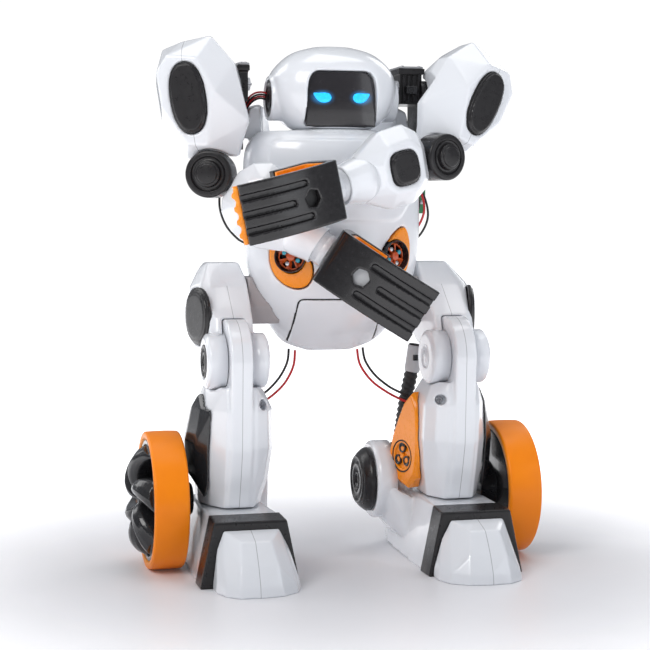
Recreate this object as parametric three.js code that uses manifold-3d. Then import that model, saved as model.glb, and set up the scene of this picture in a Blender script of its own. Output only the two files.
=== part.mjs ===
// Two-legged toy robot kit: faceted shells over a hollow trunk, turning head,
// folded arms with C-shaped grippers, legs with a wheel beside each foot.
// Millimetres, +Z up. The robot faces -Y, its left side is +X.
// Each piece is built once for one side and mirrored where the robot has a pair.
import * as THREE from 'three';
import { ConvexGeometry } from 'three/addons/geometries/ConvexGeometry.js';
import { mergeVertices } from 'three/addons/utils/BufferGeometryUtils.js';
import Module from 'manifold-3d';

const wasm = await Module();
wasm.setup();

// ---------------------------------------------------------------- dimensions
const GAP = 0.35;                 // clearance between neighbouring pieces
const CENTRE_SHIFT_Y = 10.75;     // puts the origin under the middle of the box
const WALL = 2.6;                 // trunk shell thickness
const SEAM_Y = 24;                // front / rear trunk shell split
const AXLE = { y: 6, z: 35.5 };   // wheel axle, along X
const WHEEL_R = 35.5;
const TYRE_X = [84.4, 102];
const RIM_OUT_X = 111;
const DRUM_R = 21;
const DRUM = { y: 27, z: 38.5 };   // drum motor at the left heel
const DRUM_X = [23.4, 33.6];
const COVER_YAW = 18;             // inner shin cover, face turned forwards
const KNEE = { y: -12, z: 108 };  // knee axis, along X
const KNEE_BAND_R = 21;
const KNEE_DRUM_R = 14;
const HIP = { y: 24, z: 138 };    // hip axis, along X
const HEAD_C = { x: 0, y: 20 };   // neck axis, along Z
const EAR = { y: 20, z: 243 };
const SHOULDER = { y: 22, z: 246 };
const PAD_YAW = 22;               // degrees, front face turned outwards
const ELBOW_R = 12;               // elbow disc
const ARM_RIGHT = { E: [-68.4, -2, 202.4], s: 24, a: 33, pod: [-70, 8, 242], roll: 9, side: 'R' };
const ARM_LEFT = { E: [-49.2, -14.7, 211.6], s: 22, a: 13.5, pod: [-66.5, 8, 243.5], roll: 30, side: 'L' };
const WIRE_D = 1.3;
const HOSE_R = 3.9;

// ------------------------------------------------------------------- helpers
const V = (x, y, z) => new THREE.Vector3(x, y, z);
const rad = (d) => (d * Math.PI) / 180;

function clean(geo) {
  const g = geo.index ? geo.clone() : geo.clone();
  for (const k of Object.keys(g.attributes)) if (k !== 'position') g.deleteAttribute(k);
  g.morphAttributes = {};
  const m = mergeVertices(g, 1e-3);
  const ix = m.index.array, keep = [];
  const p = m.attributes.position.array;
  let vol = 0;
  for (let i = 0; i < ix.length; i += 3) {
    const [a, b, c] = [ix[i], ix[i + 1], ix[i + 2]];
    if (a === b || b === c || c === a) continue;
    keep.push(a, b, c);
    const A = a * 3, B = b * 3, C = c * 3;
    vol += p[A] * (p[B + 1] * p[C + 2] - p[B + 2] * p[C + 1])
      - p[A + 1] * (p[B] * p[C + 2] - p[B + 2] * p[C])
      + p[A + 2] * (p[B] * p[C + 1] - p[B + 1] * p[C]);
  }
  if (vol < 0) for (let i = 0; i < keep.length; i += 3) [keep[i], keep[i + 1]] = [keep[i + 1], keep[i]];
  m.setIndex(keep);
  return m;
}

function solid(g) {
  if (g instanceof wasm.Manifold) return g;
  const m = clean(g);
  const mesh = new wasm.Mesh({
    numProp: 3,
    vertProperties: Float32Array.from(m.attributes.position.array),
    triVerts: Uint32Array.from(m.index.array),
  });
  mesh.merge();
  return new wasm.Manifold(mesh);
}

function geometryOf(s) {
  const m = s.getMesh();
  const g = new THREE.BufferGeometry();
  const n = m.numProp, src = m.vertProperties, out = new Float32Array((src.length / n) * 3);
  for (let i = 0; i < src.length / n; i++) {
    out[i * 3] = src[i * n]; out[i * 3 + 1] = src[i * n + 1]; out[i * 3 + 2] = src[i * n + 2];
  }
  g.setAttribute('position', new THREE.BufferAttribute(out, 3));
  g.setIndex(Array.from(m.triVerts));
  return clean(g);
}

const join = (...s) => s.map(solid).reduce((a, b) => a.add(b));
const cut = (a, ...s) => s.map(solid).reduce((x, b) => x.subtract(b), solid(a));
const common = (a, b) => solid(a).intersect(solid(b));

// keeps the biggest piece where a cut leaves crumbs
function main(s) {
  const parts = solid(s).decompose();
  return parts.reduce((a, b) => (a.volume() > b.volume() ? a : b));
}

const hull = (pts) => new ConvexGeometry(pts.map((p) => (p.isVector3 ? p : V(...p))));
const box = (x0, x1, y0, y1, z0, z1) => new THREE.BoxGeometry(x1 - x0, y1 - y0, z1 - z0)
  .translate((x0 + x1) / 2, (y0 + y1) / 2, (z0 + z1) / 2);

// cylinder or cone between two points
function rod(a, b, r, seg = 24, r2 = r) {
  const A = V(...a), B = V(...b), d = B.clone().sub(A), L = d.length();
  const g = new THREE.CylinderGeometry(r2, r, L, seg);
  g.applyQuaternion(new THREE.Quaternion().setFromUnitVectors(V(0, 1, 0), d.normalize()));
  return g.translate((A.x + B.x) / 2, (A.y + B.y) / 2, (A.z + B.z) / 2);
}

// lathe of [radius, x] pairs about an axis parallel to X
function latheX(profile, y, z, seg = 32) {
  const g = new THREE.LatheGeometry(profile.map(([r, x]) => new THREE.Vector2(Math.max(r, 0), x)), seg);
  return g.rotateZ(-Math.PI / 2).translate(0, y, z);
}

// flat outline [u, v] extruded along w; o is the origin of the outline frame
function slab(outline, u, v, w, o, w0, w1, holes = []) {
  const sh = new THREE.Shape(outline.map((p) => new THREE.Vector2(...p)));
  for (const h of holes) sh.holes.push(new THREE.Path(h.map((p) => new THREE.Vector2(...p))));
  const g = new THREE.ExtrudeGeometry(sh, { depth: w1 - w0, bevelEnabled: false });
  g.translate(0, 0, w0);
  const m = new THREE.Matrix4().makeBasis(V(...u), V(...v), V(...w));
  m.setPosition(V(...o));
  return g.applyMatrix4(m);
}

const ellipse = (a, b, n = 24, p = 2, cu = 0, cv = 0) => Array.from({ length: n }, (_, i) => {
  const t = (2 * Math.PI * i) / n, c = Math.cos(t), s = Math.sin(t);
  return [cu + a * Math.sign(c) * Math.abs(c) ** (2 / p), cv + b * Math.sign(s) * Math.abs(s) ** (2 / p)];
});

const offset = (outline, d) => {           // grows a convex outline about its own centre
  const cx = outline.reduce((s, p) => s + p[0], 0) / outline.length;
  const cy = outline.reduce((s, p) => s + p[1], 0) / outline.length;
  return outline.map(([x, y]) => {
    const r = Math.hypot(x - cx, y - cy);
    return [cx + ((x - cx) * (r + d)) / r, cy + ((y - cy) * (r + d)) / r];
  });
};

// hull of a convex solid's points grown by d on every side
function grownHull(pts, d) {
  const out = [];
  for (const p of pts) for (const sx of [-1, 1]) for (const sy of [-1, 1]) for (const sz of [-1, 1])
    out.push([p[0] + sx * d, p[1] + sy * d, p[2] + sz * d]);
  return hull(out);
}

// stack of closed plan sections: a capped cylinder whose rings are moved to
// superellipses {z, w half width, f front y, b back y, c centre y, n exponent}
function loft(rows, seg = 32, off = 0) {
  const g = new THREE.CylinderGeometry(1, 1, 1, seg, rows.length - 1).rotateX(Math.PI / 2);
  const p = g.attributes.position;
  for (let i = 0; i < p.count; i++) {
    const X = p.getX(i), Y = p.getY(i), Z = p.getZ(i);
    const row = rows[Math.round((Z + 0.5) * (rows.length - 1))];
    const r = Math.min(1, Math.hypot(X, Y)), t = Math.atan2(Y, X), c = Math.cos(t), s = Math.sin(t);
    const n = s > 0 ? row.nb ?? row.n ?? 2 : row.n ?? 2;
    const sx = Math.sign(c) * Math.abs(c) ** (2 / n), sy = Math.sign(s) * Math.abs(s) ** (2 / n);
    const depth = (s > 0 ? row.b - row.c : row.c - row.f) + off;
    p.setXYZ(i, r * (row.w + off) * sx, row.c + r * depth * sy, row.z);
  }
  return g;
}

function tube(points, r, seg = 8, steps = 12) {
  const path = new THREE.CatmullRomCurve3(points.map((p) => V(...p)));
  const sh = new THREE.Shape(ellipse(r, r, seg).map((p) => new THREE.Vector2(...p)));
  return new THREE.ExtrudeGeometry(sh, { extrudePath: path, steps, bevelEnabled: false });
}

function mirrored(geo) {
  const g = clean(geo);
  g.scale(-1, 1, 1);
  return clean(g);
}

const COLOURS = {
  white: [0xe9ecf1, 0.28, 0.0], light: [0xd5d8dd, 0.38, 0.0], charcoal: [0x2a282a, 0.42, 0.0],
  orange: [0xff7a12, 0.4, 0.0], grey: [0x8f8b8d, 0.5, 0.0], black: [0x141416, 0.5, 0.0],
  green: [0x1f7a44, 0.45, 0.0], red: [0xc21d2b, 0.5, 0.0], teal: [0x2aa5c0, 0.35, 0.0],
};
const robot = new THREE.Group();
robot.position.set(0, CENTRE_SHIFT_Y, 0);
function add(name, s, colour) {
  const [c, roughness, metalness] = COLOURS[colour];
  const geo = s instanceof wasm.Manifold ? geometryOf(s) : clean(s);
  const mesh = new THREE.Mesh(geo, new THREE.MeshStandardMaterial({ color: c, roughness, metalness }));
  mesh.name = name;
  robot.add(mesh);
}

// --------------------------------------------------------------------- trunk
const TRUNK = [
  { z: 109.6, w: 12, f: 23, b: 33, c: 27, n: 2.0, nb: 2.0 },
  { z: 114, w: 24, f: 17, b: 39, c: 26, n: 1.9, nb: 2.1 },
  { z: 121, w: 31, f: 8, b: 44, c: 22, n: 1.8, nb: 2.3 },
  { z: 132, w: 38, f: -2, b: 47, c: 18, n: 1.75, nb: 2.4 },
  { z: 145, w: 43, f: -9, b: 48, c: 16, n: 1.75, nb: 2.5 },
  { z: 158, w: 46, f: -12.5, b: 48.5, c: 16, n: 1.75, nb: 2.6 },
  { z: 172, w: 47.3, f: -13, b: 48.5, c: 16, n: 1.75, nb: 2.6 },
  { z: 200, w: 47.3, f: -13, b: 48.5, c: 16, n: 1.75, nb: 2.6 },
  { z: 214, w: 46.6, f: -12.4, b: 48, c: 16, n: 1.8, nb: 2.6 },
  { z: 221, w: 44, f: -9.5, b: 46.5, c: 16, n: 1.9, nb: 2.5 },
  { z: 225.4, w: 39.5, f: -4, b: 44, c: 17, n: 2.0, nb: 2.4 },
];
const trunkOuter = solid(loft(TRUNK, 36));
const trunkInner = solid(loft(TRUNK.slice(1, -1).map((r, i, a) => ({
  ...r, z: i === 0 ? 115 : i === a.length - 1 ? 220.5 : r.z,
})), 16, -WALL));
const trunkWall = trunkOuter.subtract(trunkInner);
const frontHalf = box(-70, 70, -60, SEAM_Y - GAP / 2, 90, 240);
const rearHalf = box(-70, 70, SEAM_Y + GAP / 2, 90, 90, 240);

// battery hatch in the belly
const hatchOutline = [[-22, 138], [-24.2, 104], [24.2, 104], [22, 138]];
const hatchPrism = (d) => slab(offset(hatchOutline, d), [1, 0, 0], [0, 0, 1], [0, -1, 0], [0, 0, 0], -(SEAM_Y - 1.2 + d), 60);

// side vents: teardrop frame, round opening, turbine disc
const VENT_P = [28, -6, 160.5], VENT_YAW = rad(27);
const ventU = [Math.cos(VENT_YAW), Math.sin(VENT_YAW), 0], ventW = [Math.sin(VENT_YAW), -Math.cos(VENT_YAW), 0];
const VENT_OUTLINE = [[5.6, 15], [9, 12.6], [11.4, 5], [11.2, -4.5], [7.6, -11.6], [0.6, -16], [-6.4, -15.6],
  [-10.4, -10.6], [-10.6, -3.6], [-6.6, 4.6], [-0.4, 11.6]];
const ventSlab = (outline, w0, w1) => slab(outline, ventU, [0, 0, 1], ventW, VENT_P, w0, w1);
const ventCut = ventSlab(offset(VENT_OUTLINE, GAP), -14, 14);
const ventFrameL = main(cut(
  common(solid(loft(TRUNK.slice(4, 8), 36, 0.9)).subtract(solid(loft(TRUNK.slice(3, 9), 20, -1.8))), ventSlab(VENT_OUTLINE, -12, 14)),
  ventSlab(ellipse(8.3, 9, 16), -14, 16)));
const turbine = (() => {
  const p = (u, z, w) => [VENT_P[0] + u * ventU[0] + w * ventW[0], VENT_P[1] + u * ventU[1] + w * ventW[1], VENT_P[2] + z];
  let s = solid(ventSlab(ellipse(7.6, 8.2, 14), -3.2, -1.9));
  s = join(s, rod(p(0, 0, -2.5), p(0, 0, 0.6), 2.3, 10));
  for (let i = 0; i < 5; i++) {
    const t = rad(72 * i + 12), t2 = t + rad(26), t3 = t + rad(50);
    s = join(s, hull([1.4, 7.0].flatMap((r, k) => [[t, -2.4], [t2, -2.4], [k ? t2 : t, -0.3]].map(([q, w]) =>
      p(r * Math.cos(q), r * 1.05 * Math.sin(q), w)))));
  }
  return main(s);
})();

let frontShell = common(trunkWall, frontHalf);
frontShell = cut(frontShell, hatchPrism(GAP), ventCut, mirrored(ventCut));
const hatch = main(common(common(trunkWall, frontHalf), hatchPrism(0)));

// rear shell carries the two shoulder humps either side of the head
const hump = cut(hull([
  [30, 12, 222], [46, 12, 222], [46, 47, 222], [26, 47, 222], [33, 16, 236], [43, 16, 236],
  [43, 45, 239.5], [30, 46, 239.5], [38, 30, 240.5], [34, 30, 240.5],
]), rod([HEAD_C.x, HEAD_C.y, 226], [HEAD_C.x, HEAD_C.y, 260], 37.2, 36));
const humpRear = common(hump, box(-70, 70, SEAM_Y + GAP / 2, 90, 90, 260));
const humpClean = (side) => cut(side > 0 ? humpRear : mirrored(geometryOf(humpRear)), trunkInner);
const rearShell = join(common(trunkWall, rearHalf), humpClean(1), humpClean(-1));
add('torso_front_shell', main(frontShell), 'white');
add('torso_rear_shell', main(rearShell), 'white');
add('battery_hatch', hatch, 'white');
add('vent_frame_L', ventFrameL, 'orange');
add('vent_frame_R', mirrored(geometryOf(ventFrameL)), 'orange');
add('vent_turbine_L', turbine, 'red');
add('vent_turbine_R', mirrored(geometryOf(turbine)), 'red');
add('circuit_board_L', box(48.6, 57.6, 35.4, 37, 183, 215.6), 'green');

// grey hip brackets between trunk and thighs
const bracket = main(cut(hull([
  [30, 12, 125], [46.6, 12, 125], [30, 36, 125], [46.6, 36, 125], [30, 9, 134], [46.6, 9, 134],
  [30, 39, 134], [46.6, 39, 134], [30, 13, 149.5], [46.6, 13, 149.5], [30, 35, 149.5], [46.6, 35, 149.5],
]), solid(loft(TRUNK.slice(2, 7), 36, GAP))));
add('hip_bracket_L', bracket, 'grey');
add('hip_bracket_R', mirrored(geometryOf(bracket)), 'grey');

// dark shoulder gearboxes with a plate on top and an output boss
const gearbox = join(
  box(38, 50, 19, 40, 241.2, 257.5),
  box(36.8, 51, 17, 42, 257, 260),
  box(47.9, 51, 17, 38, 216, 246),
  rod([49, SHOULDER.y, SHOULDER.z], [53.4, SHOULDER.y, SHOULDER.z], 8, 16),
);
add('shoulder_gearbox_L', gearbox, 'charcoal');
add('shoulder_gearbox_R', mirrored(geometryOf(gearbox)), 'charcoal');

// ---------------------------------------------------------------------- head
const HEAD = [
  { z: 226.4, w: 19.5, f: -3, b: 36 }, { z: 229, w: 24, f: -7, b: 39.5 }, { z: 235, w: 30, f: -8, b: 42.5 },
  { z: 243, w: 33.6, f: -8.4, b: 44.6 }, { z: 250, w: 34, f: -8, b: 45 }, { z: 256, w: 32.4, f: -6.5, b: 44 },
  { z: 262, w: 27.6, f: -3, b: 41 }, { z: 267, w: 20.6, f: 4.5, b: 34.5 }, { z: 270, w: 10, f: 12, b: 26 },
].map((r) => ({ ...r, c: 20, n: 2.35, nb: 2.3 }));
const visorOutline = (d) => [[-18.6, 227.6], [18.6, 227.6], [17.9, 246], [17.3, 251], [15.4, 254.2], [12, 255.6],
  [-12, 255.6], [-15.4, 254.2], [-17.3, 251], [-17.9, 246]].map(([x, z]) => [x + Math.sign(x) * d, z + (z > 240 ? d : -d)]);
const visorSlab = (d, y0, y1) => slab(visorOutline(d), [1, 0, 0], [0, 0, 1], [0, -1, 0], [0, 0, 0], -y1, -y0);
let head = solid(loft(HEAD, 30));
head = join(head, latheX([[0, -34.4], [11.2, -34.4], [11.8, -33.6], [11.8, 33.6], [11.2, 34.4], [0, 34.4]], EAR.y, EAR.z, 20));
head = cut(head, box(-60, 60, -60, -5, 200, 300), visorSlab(GAP, -20, 2.2),
  rod([31.0, EAR.y, EAR.z], [40, EAR.y, EAR.z], 9.7, 20), rod([-31.0, EAR.y, EAR.z], [-40, EAR.y, EAR.z], 9.7, 20));
add('head_shell', main(head), 'white');
const visor = common(visorSlab(0, -3.6, 1.85), loft([
  { z: 220, w: 40, f: -2.5, b: 30, c: 15, n: 2 }, { z: 240, w: 40, f: -3.8, b: 30, c: 15, n: 2 },
  { z: 262, w: 40, f: -2.6, b: 30, c: 15, n: 2 }], 24));
add('visor', main(visor), 'charcoal');
const ear = latheX([[0, 31.35], [9.3, 31.35], [9.3, 33], [7.4, 33.8], [5.6, 33.8], [5.2, 32.8], [0, 32.8]], EAR.y, EAR.z, 18);
add('ear_cap_L', ear, 'charcoal');
add('ear_cap_R', mirrored(ear), 'charcoal');

// ---------------------------------------------------------------------- arms
// built in the right-hand sense (outward is -X); the left arm is mirrored
function arm({ E, s, a, pod, roll, side }) {
  const S = rad(s), A = rad(a);
  const e = V(...E);
  const n = V(-Math.sin(S), -Math.cos(S), 0);               // out of the arm's front face
  const dir = V(Math.cos(A) * Math.cos(S), -Math.cos(A) * Math.sin(S), -Math.sin(A));
  const up = V(Math.sin(A) * Math.cos(S), -Math.sin(A) * Math.sin(S), Math.cos(A));
  const back = n.clone().negate();
  const F = new THREE.Matrix4().makeBasis(dir, back, up).setPosition(e);   // x along, y back, z up
  const C = V(...pod);
  const P = new THREE.Matrix4().makeRotationFromEuler(new THREE.Euler(0, rad(-roll), rad(-PAD_YAW), 'ZYX')).setPosition(C);
  const inF = (g) => solid(g.applyMatrix4 ? g.applyMatrix4(F) : g);
  const put = {};

  // elbow hub: disc, knob and a bracket reaching into the shoulder shell
  const along = (p, v, k) => p.clone().addScaledVector(v, k);
  const A3 = (v) => [v.x, v.y, v.z];
  const u = C.clone().sub(e); u.addScaledVector(n, -u.dot(n)).normalize();
  const lat = new THREE.Vector3().crossVectors(u, n);
  const arms = (g) => [4, 21].flatMap((k) => [-6.2 - g, 6.2 + g].flatMap((l) => [-5.6 - g, 4.4 + g].map((d) =>
    A3(along(along(along(e, u, k + (k > 10 ? g : -g)), lat, l * (k > 10 ? 0.85 : 1)), n, d)))));
  const disc = (r, b, f) => rod(A3(along(e, n, b)), A3(along(e, n, f)), r, r > 10 ? 22 : 14);
  let hub = join(disc(ELBOW_R, -7, 6.2), disc(ELBOW_R - 1, 6, 7), disc(6.2, 6.5, 9), disc(5.4, 8.8, 9.8), hull(arms(0)));
  put.elbow_hub = [main(hub), 'charcoal'];

  // shoulder shell: faceted pod with an oval inset on its front face
  const front = [[-2.4, 18.5], [12, 22], [19, 14], [19, -4], [9, -24], [-1, -26], [-9.2, 0.6]];
  const mid = [[-9, 30], [6, 29.4], [17, 27], [23, 10], [23, -9], [13, -30], [-13, -33], [-22, -16], [-19, 14]];
  const rear = [[-8, 24], [8, 22], [16, 4], [12, -16], [-10, -22], [-17, -8], [-14, 10]];
  const padPts = [...front.map(([o, z]) => [-o, -18, z]), ...mid.map(([o, z]) => [-o, -4, z]),
    ...mid.map(([o, z]) => [-o * 0.97, 5, z * 0.97]), ...rear.map(([o, z]) => [-o, 19, z])];
  const oval = (d) => ellipse(8.9 + d, 18 + d, 20, 2.3, -4.8, -0.8);
  const ovalAt = (d, y0, y1) => slab(oval(d), [1, 0, 0], [0, 0, 1], [0, -1, 0], [0, 0, 0], -y1, -y0);
  const pad = solid(hull(padPts));
  const place = (g) => solid(geometryOf(solid(g)).applyMatrix4(P));
  let padW = place(cut(pad, ovalAt(GAP, -30, -16.2)));
  padW = cut(padW, disc(ELBOW_R + 0.8, -8, 16), hull(arms(GAP)));
  // bore for the gearbox's output boss
  padW = cut(padW, rod([-40, SHOULDER.y, SHOULDER.z], [-56.5, SHOULDER.y, SHOULDER.z], 8.6, 16), box(-51.5, -30, 0, 60, 190, 262));
  put.shoulder_shell = [main(padW), 'white'];
  const inset = join(ovalAt(0, -19.2, -16.5), ovalAt(-1.4, -20.3, -19));
  put.shoulder_inset = [main(place(inset)), 'charcoal'];

  // forearm shell: faceted egg with a rounded-square inset
  const fMid = [[12, 9], [16, 17], [24, 22.3], [39, 21.6], [51, 14.6], [58, 9.8], [58, -9.4], [51, -13.2], [40, -18.4], [25, -18.4], [15.5, -13], [12, -7]];
  const fFront = [[20.5, 8.5], [26, 14], [41, 13], [46.5, 5.5], [46.5, -4.5], [41, -10], [27, -11], [21, -6]];
  const fRear = [[20, 8], [26, 13], [38, 12], [46, 5], [46, -5], [38, -10], [26, -10], [20, -5]];
  const fore = hull([...fMid.map(([x, z]) => [x, -4, z]), ...fMid.map(([x, z]) => [x, 3, z * 0.96]),
    ...fFront.map(([x, z]) => [x, -12.2, z]), ...fRear.map(([x, z]) => [x, 11, z])]);
  const sq = (d) => ellipse(8.8 + d, 8.6 + d, 20, 3.4, 33, 1.4);
  const sqAt = (d, y0, y1) => slab(sq(d), [1, 0, 0], [0, 0, 1], [0, -1, 0], [0, 0, 0], -y1, -y0);
  let foreS = cut(fore, sqAt(GAP, -20, -10.6), rod([59, 0, 0], [47.8, 0, 0], 9.0, 16), rod([60, 0, 0], [56.4, 0, 0], 9.75, 16));
  foreS = inF(geometryOf(foreS));
  foreS = cut(foreS, disc(ELBOW_R + 0.6, -9, 16));
  put.forearm_shell = [main(foreS), 'white'];
  put.forearm_inset = [inF(geometryOf(join(sqAt(0, -13.0, -10.9), sqAt(-1.3, -13.7, -12.8)))), 'charcoal'];
  put.wrist = [inF(geometryOf(join(rod([48.5, 0, 0], [72.9, 0, 0], 8.5, 16), rod([56.9, 0, 0], [59, 0, 0], 9.2, 16, 8.6)))), 'light'];

  // gripper: long front jaw, palm and short rear jaw bent from one wall
  const outer = [[98, -12.2], [78, -12.2], [74.6, -11.2], [73.3, -8.6], [73.3, 9.5], [74.8, 12.8], [78, 14.4], [87, 15.7],
    [97, 16.1], [108, 15.4], [119, 13.3], [131, 9.6]];
  const inner = [[130, 6.6], [118, 10.1], [107.5, 11.9], [97, 12.5], [87, 12.2], [80.5, 11.1], [78.4, 9.3], [77.8, 7], [77.8, -6.6], [79.4, -8.4], [98, -8.4]];
  const H = 14.6;
  // outline is (along, out of the front face); extruded across the hand's height
  const jaw = (o, h) => slab(o, [1, 0, 0], [0, -1, 0], [0, 0, -1], [0, 0, 0], -h, h);
  let grip = solid(jaw([...outer, ...inner], H));
  const slotEnd = [[97.5, 8], [105.5, 0], [97, -8]];
  for (const [x0, z] of slotEnd) {
    const o = [[x0, 20], [x0 + 0.6, 14.9], [108, 14.2], [119, 12.1], [134, 7.6], [134, 20]];
    grip = cut(grip, slab(o, [1, 0, 0], [0, -1, 0], [0, 0, -1], [0, 0, 0], -z - 1.15, -z + 1.15));
  }
  const hex = (r, y0, y1) => slab(ellipse(r, r, 6), [0.966, 0, 0.259], [-0.259, 0, 0.966], [0, -1, 0], [94.5, 0, 0], -y1, -y0);
  grip = cut(grip, hex(4.6, -30, 0));
  // chamfer the long edges of the wall
  for (const k of [1, -1]) {
    grip = cut(grip, slab([[60, 12.6 * 1], [60, 20], [140, 20], [140, 6], [131, 8.2], [119, 12.0], [108, 14.1], [97, 14.8], [87, 14.4], [78, 13.1], [74, 10.5]],
      [1, 0, 0], [0, -1, 0], [0, 0, -1], [0, 0, 0], k > 0 ? -H - 1 : H - 1.1, k > 0 ? -H + 1.1 : H + 1));
  }
  put.gripper = [main(inF(geometryOf(grip))), 'charcoal'];
  const linO = [[97.6, -8.05], [79.6, -8.05], [78.15, -6.4], [78.15, 6.9], [78.75, 9.0], [80.7, 10.75], [87, 11.85], [97, 12.15], [107.5, 11.55], [118, 9.75], [129.6, 6.25]];
  const linI = [[131.5, 5.6], [131, 4.1], [117.5, 8.1], [107.2, 9.9], [97, 10.5], [87, 10.2], [81.8, 9.4], [80, 6.5], [80, -5.6], [80.6, -6.5], [97.6, -6.5]];
  let liner = solid(jaw([...linO, ...linI], H - 0.7));
  for (let i = 0; i < 5; i++) liner = cut(liner, rod([132.2, -14, (i - 2) * 6.4], [132.2, 2, (i - 2) * 6.4], 1.9, 10));
  liner = cut(liner, hex(5.2, -30, 0));
  put.gripper_liner = [main(inF(geometryOf(liner))), 'orange'];

  for (const [k, [g, c]] of Object.entries(put)) {
    const geo = geometryOf(solid(g));
    add(`${k}_${side}`, side === 'L' ? mirrored(geo) : geo, c);
  }
}
arm(ARM_RIGHT);
arm(ARM_LEFT);

// ---------------------------------------------------------------------- legs
// built on the left (+X) and mirrored
const leg = {};
const kneeRod = (x0, x1, r, seg = 22) => rod([x0, KNEE.y, KNEE.z], [x1, KNEE.y, KNEE.z], r, seg);

const shinRing = (z, yf, x0, x1, yb) => [[50.5, yf, z], [66, yf, z], [x1 - 4.5, yf + 9.5, z], [x1 - 0.5, yf + 22, z], [x1 - 1, yb - 2, z],
  [x1 - 5, yb, z], [x0 + 5, yb, z], [x0 + 0.5, yb - 3, z], [x0, yf + 12, z], [x0 + 4, yf + 4, z]];
const shinPts = [...shinRing(34, -20.6, 45, 76, 14), ...shinRing(50, -25.8, 41.5, 77, 15), ...shinRing(65, -29.6, 40, 77, 15),
  ...shinRing(84, -30.8, 40.5, 76, 13), ...shinRing(95.5, -27.5, 45.5, 72.5, 7)];
const thighPts = [
  [48.5, -9.5, 124], [66.5, -9.5, 124], [48.5, -9, 129.5], [66.5, -9, 129.5], [48, 8.3, 144.5], [68, 8.3, 144.5],
  [49, 25, 157], [66, 25, 157], [49.5, 36, 157], [66, 36, 157], [49, 43, 148], [69, 43, 148],
  [50, 42, 130], [69, 42, 130], [50, 28, 115], [70, 28, 115], [50, 4, 99], [68, 4, 99], [50, -18, 104], [68, -18, 104],
  [71.3, -4, 122], [71.3, -4, 133], [76.6, 18, 118.5], [76.6, 18, 144], [74, 36, 126], [74, 36, 143], [70.5, 28, 153], [71.5, 12, 146.5],
  [47, 10, 126], [47, 14, 148], [47, 34, 150], [47, 36, 126],
];
const THN = [0.9723, -0.2340, 0];                          // outward normal of the thigh's side facet
const THU = [0.2340, 0.9723, 0];
const thighOval = (d, w0, w1) => slab(ellipse(14.6 + d, 14.9 + d, 20, 2.3), THU, [0, 0, 1], [THN[0], THN[1], 0].map((v) => v), [73.6, 8.2, 129.8], w0, w1);
const thighBody = solid(hull(thighPts));
let thigh = cut(thighBody, rod([52.6, KNEE.y, KNEE.z], [64.4, KNEE.y, KNEE.z], KNEE_BAND_R + 0.6, 28));
thigh = cut(thigh, hull([[40, -60, 88], [80, -60, 88], [40, 30, 88], [80, 30, 88], [40, -60, 96], [80, -60, 96], [40, 6, 98], [80, 6, 98], [40, 30, 96], [80, 30, 96]]));
for (const t of [8, 16, 24]) {                            // room for the shin's shoulders as the knee bends
  const swing = grownHull(shinPts, GAP).translate(0, -KNEE.y, -KNEE.z).rotateX(rad(t)).translate(0, KNEE.y, KNEE.z);
  thigh = cut(thigh, swing);
}
thigh = join(thigh, cut(kneeRod(43.4, 73.6, KNEE_DRUM_R), kneeRod(52.6, 64.4, KNEE_DRUM_R + 10)));
const drumCap = (x0, x1) => kneeRod(x0, x1, KNEE_DRUM_R - 1.6, 22);
thigh = join(thigh, drumCap(42.6, 44), drumCap(73, 74.6));
thigh = cut(thigh, rod([40, KNEE.y, KNEE.z], [43.4, KNEE.y, KNEE.z], 5.6, 12), rod([73.7, KNEE.y, KNEE.z], [78, KNEE.y, KNEE.z], 9, 16));
thigh = cut(thigh, thighOval(GAP, -1.4, 12));
leg.thigh_shell = [main(thigh), 'white'];
leg.thigh_inset = [join(thighOval(0, -1.1, 0.9), thighOval(-1.8, 0.7, 1.8)), 'charcoal'];

const band = kneeRod(53, 64, KNEE_BAND_R, 28);
const ridge = hull([...Array.from({ length: 18 }, (_, i) => rad(20 * i)).flatMap((t) => [53, 64].map((x) =>
  [x, KNEE.y + KNEE_BAND_R * Math.cos(t), KNEE.z + KNEE_BAND_R * Math.sin(t)])),
  [53, -30.9, 64], [64, -30.9, 64], [53, -31.8, 84], [64, -31.8, 84], [53, -5, 66], [64, -5, 66]]);
const strip = hull([[53, -30.9, 64], [64, -30.9, 64], [53, -31.8, 84], [64, -31.8, 84], [53, -27.0, 50], [64, -27.0, 50], [53, -21.8, 34.4], [64, -21.8, 34.4],
  [53, -10, 80], [64, -10, 80], [53, -10, 40], [64, -10, 40]]);
let shin = cut(hull(shinPts), kneeRod(38, 52.7, KNEE_DRUM_R + 0.5), kneeRod(64.3, 80, KNEE_DRUM_R + 0.5));
shin = join(shin, ridge, strip, band);
shin = cut(shin, rod([47.9, -19, 86], [45.9, -32, 87.4], 2.8, 16));
leg.shin_shell = [main(shin), 'white'];

// outer black cover wraps the outer front corner of the shin
const coverPts = [[72.2, -21.2, 84], [73.6, -20.4, 66], [73.6, -17, 46], [74.5, -12.5, 38.5], [72, -11, 92.5],
  [76.2, -11.5, 84], [79.4, -12.5, 66], [78.6, -11, 47], [78.4, 2, 84], [82, 3, 66], [81.6, 2, 50], [77.9, 10, 82], [81, 13, 66], [80.6, 12, 52],
  [70, 0, 90], [70, 12, 82], [70, 12, 50], [70, -10, 44], [76, -3, 90.5]];
const cover = cut(hull(coverPts), grownHull(shinPts, GAP), rod([70, AXLE.y, AXLE.z], [90, AXLE.y, AXLE.z], 15.6, 20));
leg.shin_panel_outer = [main(cover), 'black'];

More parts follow.
